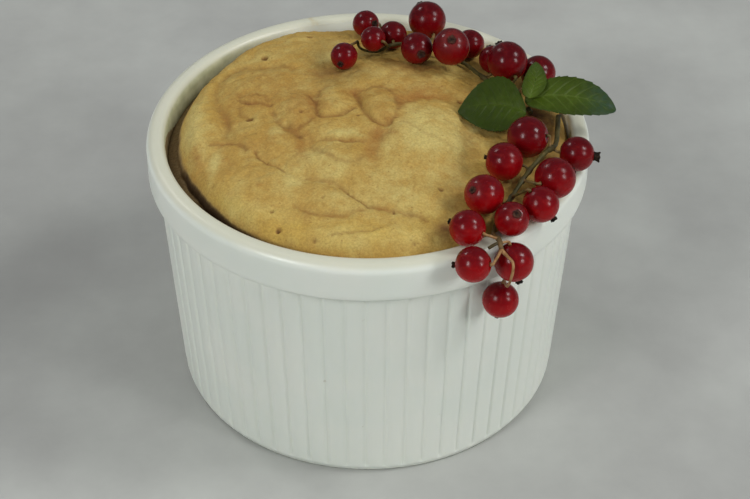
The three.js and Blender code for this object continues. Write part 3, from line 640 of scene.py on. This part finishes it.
def stalk_material():
    m = Nodes("sprig_stalk")
    patchy = m.plus("tan", m.ripple(1.8, 3, 0.6))
    m.tint = m.mottled(colour(58, 58, 26), colour(92, 84, 42), 2.5)
    m.coat(m.between(patchy, 0.1, 0.9), m.mottled(colour(140, 100, 62), colour(178, 136, 92), 1.3))
    m.coat("woody", colour(66, 54, 34))
    return m.finish(Roughness=0.5, Specular_IOR_Level=0.25, Normal=m.bump(m.noise(0.5), 0.1, 0.6))


def leaf_material():
    m = Nodes("mint_leaf")
    tone = m.plus("tone", m.times(m.ripple(2.5, 4, 0.6), 0.5))
    m.tint = colour(44, 58, 8)
    m.coat(m.between(tone, 0.0, 1.0), colour(84, 104, 28))
    m.coat("vein", colour(124, 144, 74))
    # Painted sheen toward the leaf's tip, in bluish grey.
    m.coat(m.times("bloom", m.spread(0.4, 1, 1.2)), colour(48, 70, 52))
    return m.finish(
        Roughness=m.spread(0.38, 0.55, 1.5), Specular_IOR_Level=0.16,
        Normal=m.bump(m.noise(0.5, 3, 0.6), 0.12, 0.6),
        Subsurface_Weight=0.1, Subsurface_Radius=(0.4, 1.0, 0.2), Subsurface_Scale=0.001,
    )


def floor_material():
    m = Nodes("pale_tabletop")
    tone = m.plus(m.times(m.ripple(36, 6, 0.6), 1.5), m.ripple(150, 2))
    # Darker spots on the floor; the first is a painted shadow left of the dish.
    for x, y, depth in FLOOR_SHADES:
        away = m.add("VectorMath", {0: m.place, 1: (x, y, 0.0)}, "Value", operation="DISTANCE")
        tone = m.plus(tone, m.between(away, 0.0, FLOOR_SHADE_REACH, -depth, 0))
    m.tint = m.mix(m.between(tone, -1, 1), colour(160, 160, 157), colour(194, 197, 191))
    return m.finish(Roughness=0.8)


# ---------- dish


def inner_wall_radius(z):
    share = (z - FLOOR_THICKNESS) / (DISH_HEIGHT - FLOOR_THICKNESS)
    return FLOOR_RADIUS + (RIM_INNER_RADIUS - FLOOR_RADIUS) * share


def body_radius(z):
    return FOOT_RADIUS + (BODY_TOP_RADIUS - FOOT_RADIUS) * (z / (DISH_HEIGHT - BAND_HEIGHT))


def reed_relief(share):
    """How far the wall stands proud of its mean, across one reed."""
    off_middle = np.abs(2 * share - 1)
    edge = 1 - 2 * GROOVE_HALF_WIDTH
    crown = REED_CROWN * (1 - (off_middle / edge) ** 2)
    into = np.clip((off_middle - edge) / (1 - edge), 0, 1)
    groove = -GROOVE_DEPTH * (0.5 - 0.5 * np.cos(np.pi * into ** 0.9))
    return np.where(off_middle < edge, crown, groove)


def arc(radius, height, size, degrees):
    """Radius and height along part of a circle about that point: 0 is outward, 90 is up."""
    turns = np.radians(degrees)
    return list(zip(radius + size * np.cos(turns), height + size * np.sin(turns)))


def dish_profile():
    """Radius and height of each ring of the dish, from the middle of the underside, up the
    outside, over the rim and down to the middle of the floor, and how many of them are outside."""
    band_foot = DISH_HEIGHT - BAND_HEIGHT
    band_top = DISH_HEIGHT - RIM_OUTER_ROUNDING
    rows = [(radius, 0.0) for radius in (12, 30, 44)]
    rows += arc(FOOT_RADIUS - FOOT_ROUNDING, FOOT_ROUNDING, FOOT_ROUNDING, [-90, -65, -40, -15, 0])
    low_end = np.linspace(REED_FOOT, REED_FOOT + REED_FADE, 7)
    middle = np.linspace(REED_FOOT + REED_FADE, REED_TOP - REED_FADE, 14)[1:-1]
    high_end = np.linspace(REED_TOP - REED_FADE, REED_TOP, 9)
    rows += [(body_radius(z), z) for z in (*low_end, *middle, *high_end, band_foot - BAND_COVE)]
    rows += arc(BODY_TOP_RADIUS + BAND_COVE, band_foot - BAND_COVE, BAND_COVE, [160, 135, 110, 90])
    rows += arc(BAND_RADIUS - BAND_EDGE, band_foot + BAND_EDGE, BAND_EDGE, [-90, -60, -30, 0])
    rows += [(BAND_RADIUS, z) for z in np.linspace(band_foot + BAND_EDGE, band_top, 7)[1:-1]]
    rows += arc(BAND_RADIUS - RIM_OUTER_ROUNDING, band_top, RIM_OUTER_ROUNDING, np.linspace(0, 90, 10))
    outside = len(rows)
    rim, wall_top = RIM_INNER_ROUNDING, DISH_HEIGHT - RIM_INNER_ROUNDING
    rows += arc(RIM_INNER_RADIUS + rim, wall_top, rim, np.linspace(90, 180, 8))
    levels = [*np.arange(wall_top - 0.6, 56, -0.9), 50, 38, 26, 16, 10]
    rows += [(inner_wall_radius(z), z) for z in levels]
    fillet = FLOOR_FILLET
    rows += arc(FLOOR_RADIUS - fillet, FLOOR_THICKNESS + fillet, fillet, [-15, -45, -75, -90])
    rows += [(radius, FLOOR_THICKNESS) for radius in (36, 20, 8)]
    return rows, outside


def dish_values(points, inside):
    """Where the dish is tinted: cream along the rim, painted bounce light on its top, painted olive shade
    and reflection on the inner wall, and baked film there, charred and painted with shade in the front left
    gap.
    """
    turn, radius = polar(points)
    azimuth = np.degrees(turn) % 360
    z = points[:, 2]
    film_top = np.interp(azimuth, *zip(*FILM_TOP)) + 0.5 * gradient_noise(points, 2.5, 11)
    film = inside * smooth_step((film_top - z) / 2.4 + 0.5)
    # Partly charred film and partly painted shade, in the gap at the front left.
    char = inside * smooth_step((azimuth - 200) / 22) * smooth_step((72 - z) / 4)
    below_rim = smooth_step((DISH_HEIGHT + 0.1 - z) / 2)
    # Painted shade and reflection: the inner wall is olive grey under the rim, except at the back right.
    haze = inside * 0.75 * below_rim * smooth_step((azimuth - 105) / 40)
    edge = bell(radius - RIM_INNER_RADIUS - 0.4, 0.7) * (z > DISH_HEIGHT - 3)
    cream = 0.35 * edge * smooth_step((azimuth - 225) / 20) * smooth_step((330 - azimuth) / 20)
    streak = bell(azimuth - 106.5 + 0.6 * np.sin(radius), 0.8) * smooth_step((z - 73.4) / 0.6)
    cream = np.maximum(cream, 0.8 * streak)
    # Painted bounce light: the rim's top is tinted warm, as if lit by the crust.
    warm = smooth_step((z - DISH_HEIGHT + 1.6) / 1.4)
    return {"film": film, "char": char, "haze": haze, "warm": warm, "cream": cream}


def dress_dish():
    columns = np.array([*REED_POINTS, 0.5, *(1 - share for share in REED_POINTS[:0:-1])])
    shares = np.concatenate([reed + columns for reed in range(REED_COUNT)])
    azimuths = REED_START + shares / REED_COUNT * TURN
    relief = reed_relief(shares % 1)
    profile, outside = dish_profile()
    rings = []
    for radius, z in profile:
        reeded = radius > FOOT_RADIUS and REED_FOOT <= z <= REED_TOP
        from_end = min(z - REED_FOOT, REED_TOP - z, REED_FADE) / REED_FADE
        proud = relief * math.sqrt(1 - (1 - from_end) ** 2) if reeded else 0
        rings.append(ring(radius + proud, z, azimuths))
    points, faces = stitch(rings)
    inside = np.arange(len(points)) > outside * len(azimuths)
    skin = Skin(points, faces, **dish_values(points, inside))
    add_piece("porcelain_dish", skin, [porcelain_material()], "porcelain", "dish")


# ---------- souffle


def by_azimuth(table, azimuth):
    """What a table of azimuths and values gives, going smoothly from row to row."""
    turn = np.degrees(azimuth) % 360
    value = np.zeros_like(turn)
    for (start, before), (end, after) in zip(table, table[1:]):
        here = before + (after - before) * smooth_step((turn - start) / (end - start))
        value = np.where(turn >= start, here, value)
    return value


def shrinkage(azimuth):
    return by_azimuth(SHRINKAGE, azimuth)


def crust_radius(azimuth):
    return RIM_INNER_RADIUS - GAP - shrinkage(azimuth)


def overhang(points):
    """0 over the crust's middle, 1 at its edge."""
    azimuth, radius = polar(points)
    return np.clip((radius - crust_radius(azimuth) + SHOULDER_ROUNDING) / SHOULDER_ROUNDING, 0, 1)


def crust_height(points):
    """The baked surface's main form, as the solid has it."""
    azimuth, radius = polar(points)
    share = np.clip(radius / crust_radius(azimuth), 0, 1)
    over = overhang(points)
    dome = SHOULDER_HEIGHT + (CROWN_HEIGHT - SHOULDER_HEIGHT) * (1 - share ** 2)
    shoulder = SHOULDER_ROUNDING * (1 - np.sqrt(1 - over ** 2))
    relief = patches(points, SWELLINGS, 1.5)
    for route, width, depth in CREASES:
        relief -= CREASE_SOFTNESS * depth * bell(distance_to_route(points, route), width)
    return dome - shoulder + relief * (1 - over ** 2)


def lumps(flat, bent):
    """The height of the crust's small lumps, and how near each point is to a valley between them."""
    broad = np.abs(gradient_noise(bent, 5.2, 33))
    fine = np.abs(gradient_noise(bent, 2.3, 36))
    finest = np.abs(gradient_noise(bent, 1.2, 38))
    height = 0.22 * layered_noise(flat, 8, 31) + 0.06 * layered_noise(flat, 1.2, 41)
    height += 0.6 * np.minimum(broad, 0.5) + 0.26 * np.minimum(fine, 0.5) + 0.1 * np.minimum(finest, 0.4)
    return height, 0.3 * smooth_step(1 - broad / 0.25)


def cracks(flat, bent):
    """How deep in a crack each point lies, and how near it is to one."""
    hollow, fold = np.zeros((2, len(flat)))
    uneven = np.clip(0.75 + 0.5 * gradient_noise(flat, 3, 45), 0.2, 1.2)
    for route, width, depth in CRACKS:
        near = distance_to_route(bent, route)
        hollow = np.maximum(hollow, depth * uneven * bell(near, width))
        fold = np.maximum(fold, min(1, 3 * depth) * bell(near, 1.4 * width))
    return hollow, fold


def bubbles(points):
    """How deep in a burst bubble or a pore each point lies."""
    hollow = np.zeros(len(points))
    for x, y, radius, depth in PITS:
        hollow = np.maximum(hollow, depth * patch(points, x, y, 1.15 * radius, 1.15 * radius, power=2))
    rng = np.random.default_rng(51)
    count, reach, least, greatest = PORES
    for _ in range(count):
        azimuth, out = rng.uniform(0, TURN), reach * math.sqrt(rng.uniform())
        radius = rng.uniform(least, greatest)
        x, y = out * math.cos(azimuth), out * math.sin(azimuth)
        near = (np.abs(points[:, 0] - x) < 1) & (np.abs(points[:, 1] - y) < 1)
        pore = radius * patch(points[near], x, y, radius, radius, power=2)
        hollow[near] = np.maximum(hollow[near], pore)
    return hollow


def fine_relief(points):
    """Lumps, wrinkles, cracks and burst bubbles: their height, how deep in a crack or bubble each
    point lies, and how near it is to a crack or to a valley between lumps."""
    flat = plan(points)
    bent = plan(points + 0.45 * sway(flat, 5, 21) + 0.32 * sway(flat, 1.6, 24))
    height, valley = lumps(flat, bent)
    hollow, fold = cracks(flat, bent)
    hollow = np.maximum(hollow, bubbles(points))
    return height - hollow, hollow, np.maximum(valley, fold)


def edge_browning(points):
    """How browned each point is for lying near the crust's edge."""
    azimuth, radius = polar(points)
    strength = np.interp(np.degrees(azimuth) % 360, *zip(*EDGE_BROWN))
    return strength * bell(crust_radius(azimuth) - radius - 0.5, 1.2)


def crust_tints(points, over, azimuth, hollow, fold):
    """What the crust's material mixes its colours by, at each point of the crust."""
    tints = {name: np.minimum(patches(points, rows), most) for name, (rows, most) in PATCHES.items()}
    # The edge browns with baking; fold adds painted shade along the creases and between the lumps.
    tints["brown"] += edge_browning(points) + 0.2 * fold
    # Painted shade: darker in cracks, pits and pores by their depth, and a little near creases.
    tints["dark"] = np.clip(1.35 * hollow + 0.1 * fold, 0, 0.9)
    # Partly burnt and partly painted shade: the crust's edge underneath, where the gap is.
    tints["char"] = by_azimuth(BURNT_AND_SHADED_EDGE, azimuth) * smooth_step((over - 0.85) / 0.06)
    tints["side"] = smooth_step((over - 0.79) / 0.17) * smooth_step(shrinkage(azimuth))
    return tints


def side_rings(azimuths):
    """The rings of the souffle's side, from its foot up to the crust's edge."""
    floor = FLOOR_THICKNESS + GAP
    rings = [ring(FLOOR_RADIUS - FLOOR_FILLET - GAP, floor, azimuths)]
    free = shrinkage(azimuths) * (1 - by_azimuth(COLLAR, azimuths))
    for z in (floor + FLOOR_FILLET, 20, 32, 45, *np.linspace(SHRINK_FLOOR, SHRINK_TOP, 11)):
        opening = smooth_step((z - SHRINK_FLOOR) / (SHRINK_TOP - SHRINK_FLOOR))
        wall = inner_wall_radius(z)
        crumb = 0.25 * layered_noise(ring(wall, z, azimuths), 2.4, 61) * opening * np.minimum(free, 1)
        rings.append(ring(wall - TOUCH - free * opening - np.abs(crumb), z, azimuths))
    edge = ring(crust_radius(azimuths), 0, azimuths)
    edge[:, 2] = crust_height(edge)
    foot = rings[-1]
    for share in (0.15, 0.3, 0.45, 0.6, 0.75, 0.9):
        ledge = foot + (edge - foot) * share
        ledge[:, 2] += 0.3 * layered_noise(ledge, 2.2, 64) * math.sin(math.pi * share)
        rings.append(ledge)
    return rings


def crust_rings(azimuths):
    """The rings of the crust in plan, from its edge to near its middle."""
    edge = crust_radius(azimuths)
    insets = SHOULDER_ROUNDING * (1 - np.cos(np.radians(np.linspace(1, 88, 21))))
    rings = [ring(edge - inset, 0, azimuths) for inset in insets]
    outer = edge - SHOULDER_ROUNDING
    for share in np.linspace(0, 1, 62)[1:]:
        rings.append(ring(outer + (CRUST_MIDDLE - outer) * share, 0, azimuths))
    for low, high, step, thinned in CRUST_ZONES:
        rings += [ring(radius, 0, azimuths[::thinned]) for radius in np.arange(high - step, low, -step)]
    return rings


def dress_souffle():
    azimuths = even_azimuths(CRUST_COLUMNS)
    side = side_rings(azimuths)
    points, faces = stitch(side + crust_rings(azimuths))
    side_points = 1 + len(side) * CRUST_COLUMNS
    top = points[side_points:]
    relief, hollow, fold = fine_relief(top)
    over = overhang(top)
    azimuth, radius = polar(top)
    top[:, 2] = crust_height(top) + relief * (1 - 0.7 * over ** 2)
    ragged = 0.35 * layered_noise(plan(top), 4.5, 67) * over ** 2 * np.minimum(shrinkage(azimuth) / 2, 1)
    top[:, :2] *= 1 + (ragged / np.maximum(radius, 1))[:, None]
    tints = crust_tints(top, over, azimuth, hollow, fold)
    values = {name: np.concatenate([np.zeros(side_points), tint]) for name, tint in tints.items()}
    values["side"][:side_points] = 1
    add_piece("baked_souffle", Skin(points, faces, **values), [crust_material()], "crust", "souffle")


# ---------- currants


class Currant:
    """A currant's centre, radius and the way its dried flower points, taken from its solid."""

    widest_latitude = math.radians(-3)  # of the solid's widest ring

    def __init__(self, node):
        corners = np.array([vertex.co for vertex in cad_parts[node].data.vertices]) / MM
        corners = np.unique(corners.round(3), axis=0)
        middle = corners.mean(axis=0)
        away = np.linalg.norm(corners - middle, axis=1)
        stalk_end = corners[np.argmax(away)]
        self.name = node.removeprefix("currant_")
        self.way = (middle - stalk_end) / away.max()
        along = (corners - middle) @ self.way
        out = np.linalg.norm(corners - middle - along[:, None] * self.way, axis=1)
        widest = np.argmax(out)
        self.radius = out[widest] / math.cos(self.widest_latitude)
        self.centre = middle + self.way * (along[widest] - self.radius * math.sin(self.widest_latitude))

    def place(self, points):
        """Points about the currant's own axis, +Z to the flower, put where the currant is."""
        turn = np.array(Vector((0, 0, 1)).rotation_difference(Vector(self.way)).to_matrix())
        return points @ turn.T + self.centre


def currant_ball(radius, seed, scar_reach):
    """The berry's skin about its own axis, dimpled at both ends, with the share of vein and scar."""
    azimuths = even_azimuths(56)
    latitudes = np.radians(np.linspace(-86, 84, 40))
    points, faces = stitch([ring(math.cos(north), math.sin(north), azimuths) for north in latitudes])
    points = unit_rows(points)
    north = points[:, 2]
    uneven = 1 + 0.018 * gradient_noise(points + seed, 1.1, seed)
    dips = 0.09 * bell(1 - north, 0.03) + 0.07 * bell(1 + north, 0.02)
    azimuth, out = polar(points)
    swing = 0.25 * gradient_noise(points * 1.5, 1, seed + 5)
    vein = np.clip(np.cos(9 * (azimuth + swing)), 0, 1) ** 6 * out
    return points * (radius * (uneven - dips))[:, None], faces, vein, bell(1 - north, scar_reach)


def dried_flower(radius, seed, size, stands):
    """A short shrivelled tube with a blunt lip, hollow at its end. A sunken one hardly stands out."""
    rng = np.random.default_rng(seed)
    tuft = size * min(1.1, 0.25 * radius)
    azimuths = even_azimuths(30)
    lobes = np.cos(5 * azimuths + rng.uniform(0, TURN))
    lobes += 0.5 * np.cos(3 * azimuths + rng.uniform(0, TURN))
    tall = 0.2 + 0.8 * stands
    rings = []
    for out, up, ragged in FLOWER_PROFILE:
        height = 0.94 * radius + (up * tall if up > 0 else up) * tuft
        rings.append(ring(tuft * (out + ragged * lobes), height + 0.8 * ragged * tuft * lobes, azimuths))
    points, faces = stitch(rings)
    lean = rng.normal(0, 0.15, 2)
    points[:, :2] += lean * np.clip(points[:, 2] - radius, 0, None)[:, None]
    return points, faces


def dress_currants(currants):
    skin_material, flower_material = currant_material(), dried_flower_material()
    rng = np.random.default_rng(71)
    for seed, currant in enumerate(currants):
        size, stands, scar_reach = FLOWERS.get(currant.name, USUAL_FLOWER)
        points, faces, vein, scar = currant_ball(currant.radius, seed, scar_reach)
        placed = currant.place(points)
        # Painted light: each currant is brighter red underneath and toward the front, and darker on top, for
        # light shining through it.
        glow = 0.5 - 0.5 * unit_rows(placed - currant.centre) @ np.array([-0.1, 0.35, 0.93])
        # Deeper red at random, and painted shade: the currants further back are darker.
        ripe = rng.uniform(0, 0.2) + 0.45 * smooth_step((currant.centre[1] + 35) / 25)
        skin = Skin(placed, faces, 0, vein=vein, scar=0.6 * scar, glow=glow, ripe=ripe)
        flower, flower_faces = dried_flower(currant.radius, seed, size, stands)
        middle = bell(polar(flower)[1], 0.55)
        skin.add(currant.place(flower), flower_faces, 1, faded=(1 - stands) * (1 - middle))
        node = "currant_" + currant.name
        add_piece("red_" + node, skin, [skin_material, flower_material], "currant", node)


# ---------- stalks


def curve_through(route, step=0.5):
    """Points about step apart on a smooth curve through the route."""
    knots = np.array(route, float)
    knots = np.concatenate([[2 * knots[0] - knots[1]], knots, [2 * knots[-1] - knots[-2]]])
    line = []
    for a, b, c, d in zip(knots, knots[1:], knots[2:], knots[3:]):
        count = max(2, round(np.linalg.norm(c - b) / step))
        for t in np.arange(count) / count:
            square = (2 * a - 5 * b + 4 * c - d) * t ** 2
            cube = (3 * b - 3 * c + d - a) * t ** 3
            line.append(0.5 * (2 * b + (c - a) * t + square + cube))
    line.append(knots[-2])
    return np.array(line)


def tube(line, radii, seed, sides=TUBE_SIDES):
    """A tube along the line, a little uneven, with closed ends."""
    way = unit_rows(np.gradient(line, axis=0))
    across = np.cross(way[0], (0.3, 0.9, 0.2))
    azimuths = even_azimuths(sides)
    rings = []
    for place, forward, radius in zip(line, way, np.broadcast_to(radii, len(line))):
        across = across - forward * (across @ forward)
        across /= np.linalg.norm(across)
        up = np.cross(forward, across)
        circle = np.cos(azimuths)[:, None] * across + np.sin(azimuths)[:, None] * up
        uneven = 1 + 0.12 * gradient_noise(place + circle, 1.3, seed)
        rings.append(place + circle * (radius * uneven)[:, None])
    return stitch(rings)


def pedicel(main, currant):
    """A currant's own stalk, from the main one to the berry's foot."""
    end = currant.centre - currant.way * (currant.radius - 0.25)
    middle = VIA.get(currant.name, [])
    goal = np.array(middle[0]) if middle else end
    start = main[np.argmin(np.linalg.norm(main - goal, axis=1))]
    straight = min(0.35 * np.linalg.norm(end - start), PEDICEL_LEAD)
    return curve_through([start, *middle, end - currant.way * straight, end], 0.35)


def dress_sprig(name, route, currants, node, material, taper, spur=None):
    """The main stalk, knobbly where a pedicel leaves it, and a pedicel to each of its currants."""
    main = curve_through(route)
    pedicels = [pedicel(main, currant) for currant in currants]
    knobs = np.max([bell(np.linalg.norm(main - line[0], axis=1), 0.9) for line in pedicels], axis=0)
    share = np.linspace(0, 1, len(main))
    points, faces = tube(main, STALK_RADIUS * (1 - taper * share) * (1 + 0.4 * knobs), 81)
    woody = np.concatenate([[0.3], np.repeat(0.2 + 0.5 * knobs, TUBE_SIDES), [0.8]])
    tan = np.interp(points[:, 1], (-52, -38), (0.5, 0.1))
    skin = Skin(points, faces, tan=tan, woody=woody)
    for seed, line in enumerate(pedicels, 90):
        along = np.linspace(0, 1, len(line))
        swollen = 0.35 * bell(along, 0.12) + 0.35 * bell(1 - along, 0.1)
        pedicel_tube = tube(line, PEDICEL_RADIUS * (0.85 + swollen), seed, 10)
        skin.add(*pedicel_tube, tan=0.75 if line[-1][1] < -44 else 0.35)
    if spur:
        skin.add(*tube(curve_through(spur, 0.3), PEDICEL_RADIUS, 89, 10), woody=0.8)
    add_piece(name, skin, [material], "stalk", node)


def dress_mint_stalk(material):
    skin = Skin(*tube(curve_through(MINT_STALK, 0.3), STALK_RADIUS, 84), woody=0.3)
    add_piece("mint_sprig_stalk", skin, [material], "stalk", "mint_stalk")


# ---------- mint leaves


def vein_pattern(share, across):
    """1 on the midrib and on the side veins, which sweep forward from it, 0 between them."""
    out = np.abs(across)
    side = np.zeros_like(share)
    for start in SIDE_VEINS:
        line = start + 0.2 * out ** 0.85 + 0.06 * out ** 3
        width = 0.011 * (1.25 - out)
        side = np.maximum(side, bell(share - line, width) * (1 - 0.55 * out))
    return np.maximum(side, bell(out, 0.05 * (1.2 - share)))


def leaf_half_width(leaf, share, across):
    """How far the toothed edge stands from the midrib at each share of the leaf's length."""
    at_base, at_tip = leaf["base_power"], leaf["tip_power"]
    fullest = at_base / (at_base + at_tip)
    widest = fullest ** at_base * (1 - fullest) ** at_tip
    outline = share ** at_base * (1 - share) ** at_tip
    saw = (share * LEAF_TEETH + 0.15 * np.sign(across)) % 1
    tooth = 1 + leaf["tooth"] * (2 * saw ** 1.5 - 1) * np.abs(across) ** 6
    return LEAF_STUB * (1 - share) + leaf["width"] / 2 * outline / widest * tooth + 0.1


def leaf_form(leaf, seed, share, across, vein):
    """The leaf's middle surface and the way out of its face."""
    foot = np.array(leaf["base"])
    along = np.array(leaf["tip"]) - foot
    length = np.linalg.norm(along)
    axis = along / length
    level = np.cross((0, 0, 1), axis)
    roll = Matrix.Rotation(math.radians(leaf["roll"]), 3, Vector(axis))
    side = np.array(roll @ Vector(level / np.linalg.norm(level)))
    normal = np.cross(axis, side)
    half = leaf_half_width(leaf, share, across)
    bow = np.sin(np.pi * share)
    lift = leaf["arch"] * bow + 0.25 * np.sin(9 * share) + leaf["fold"] * half * np.abs(across)
    lift = lift + 0.2 * across * np.sin(7 * share + 2 * across)
    puff = 0.28 * (1 - vein) * bow * (1 - np.abs(across) ** 4)
    flat = np.stack([share * length, across * half, np.zeros_like(share)], -1).reshape(-1, 3)
    crinkle = 0.12 * gradient_noise(flat + 10 * seed, 1.8, 95).reshape(share.shape)
    middle = foot + share[..., None] * length * axis
    middle = middle + (across * half + leaf["sweep"] * bow)[..., None] * side
    return middle + (lift + puff + crinkle)[..., None] * normal, normal


def leaf_faces():
    """Faces of the leaf's upper and lower grids of points and of the strip between their edges."""
    index = np.arange(LEAF_STATIONS * LEAF_COLUMNS).reshape(LEAF_STATIONS, LEAF_COLUMNS)
    corners = (index[:-1, :-1], index[1:, :-1], index[1:, 1:], index[:-1, 1:])
    upper = np.column_stack([corner.ravel() for corner in corners])
    rim = np.concatenate([index[:, 0], index[-1, 1:], index[-2::-1, -1], index[0, -2:0:-1]])
    after = np.roll(rim, -1)
    under = index.size
    strip = np.column_stack([rim, rim + under, after + under, after])
    return [*upper.tolist(), *(upper[:, ::-1] + under).tolist(), *strip.tolist()]


def leaf_skin(leaf, seed):
    lengthways, crossways = np.linspace(0, 1, LEAF_STATIONS), np.linspace(-1, 1, LEAF_COLUMNS)
    share, across = np.meshgrid(lengthways, crossways, indexing="ij")
    vein = vein_pattern(share, across)
    middle, normal = leaf_form(leaf, seed, share, across, vein)
    thick = (LEAF_THICKNESS / 2 * np.sqrt(np.clip(1.02 - across ** 8, 0, 1)))[..., None] * normal
    points = np.concatenate([(middle + thick).reshape(-1, 3), (middle - thick).reshape(-1, 3)])
    values = {
        "vein": leaf["veins"] * 0.55 * vein,
        "tone": leaf["tone"] + 0.25 * (1 - np.abs(across)) - 0.2 * share,
        # Painted sheen: bluish grey toward the tip.
        "bloom": leaf["bloom"] * smooth_step((share - 0.5) / 0.45) * 0.8,
    }
    return Skin(points, leaf_faces(), **{name: np.tile(grid.ravel(), 2) for name, grid in values.items()})


def dress_leaves():
    material = leaf_material()
    for seed, (node, leaf) in enumerate(LEAVES.items()):
        add_piece(node.replace("mint_leaf", "mint_blade"), leaf_skin(leaf, seed), [material], "leaf", node)


# ---------- stage


def set_floor():
    h = FLOOR_HALF
    mesh = bpy.data.meshes.new("tabletop")
    mesh.from_pydata([(-h, -h, 0), (h, -h, 0), (h, h, 0), (-h, h, 0)], [], [(0, 1, 2, 3)])
    mesh.materials.append(floor_material())
    floor = link("tabletop", mesh)


def set_lights():
    """Area lights that face the dish. The ceiling lights without being mirrored."""
    for name, (way, distance, width, height, watts) in LIGHTS.items():
        data = bpy.data.lights.new(name, "AREA")
        data.shape = "RECTANGLE"
        data.size, data.size_y = width, height
        data.energy = watts
        light = link(name, data)
        way = Vector(way).normalized()
        light.location = way * distance + Vector((0, 0, LIT_HEIGHT))
        light.rotation_euler = way.to_track_quat("Z", "Y").to_euler()
        light.visible_glossy = name != "ceiling"


def set_room():
    world = bpy.data.worlds.new("soft_room")
    world.use_nodes = True
    background = world.node_tree.nodes["Background"]
    background.inputs["Color"].default_value = ROOM_COLOUR
    background.inputs["Strength"].default_value = ROOM_STRENGTH
    bpy.context.scene.world = world
    bpy.context.scene.view_settings.view_transform = "Standard"


def set_camera():
    data = bpy.data.cameras.new("camera")
    data.sensor_width = 36
    data.lens = CAMERA_LENS
    camera = link("camera", data)
    axes = Matrix((CAMERA_RIGHT, CAMERA_UP, CAMERA_BACK)).transposed()
    camera.matrix_world = Matrix.Translation(CAMERA_PLACE) @ axes.to_4x4()
    bpy.context.scene.camera = camera


set_camera()
set_lights()
set_room()
set_floor()
dress_dish()
dress_souffle()
all_currants = [Currant(node) for node in sorted(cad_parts) if node.startswith("currant")]
back = [currant for currant in all_currants if "back" in currant.name]
front = [currant for currant in all_currants if "back" not in currant.name]
dress_currants(all_currants)
stalks = stalk_material()
dress_sprig("sprig_back", BACK_STALK, back, "stalk_back", stalks, 0.5)
dress_sprig("sprig_front", FRONT_STALK, front, "stalk_front", stalks, 0.25, SPUR)
dress_mint_stalk(stalks)
dress_leaves()
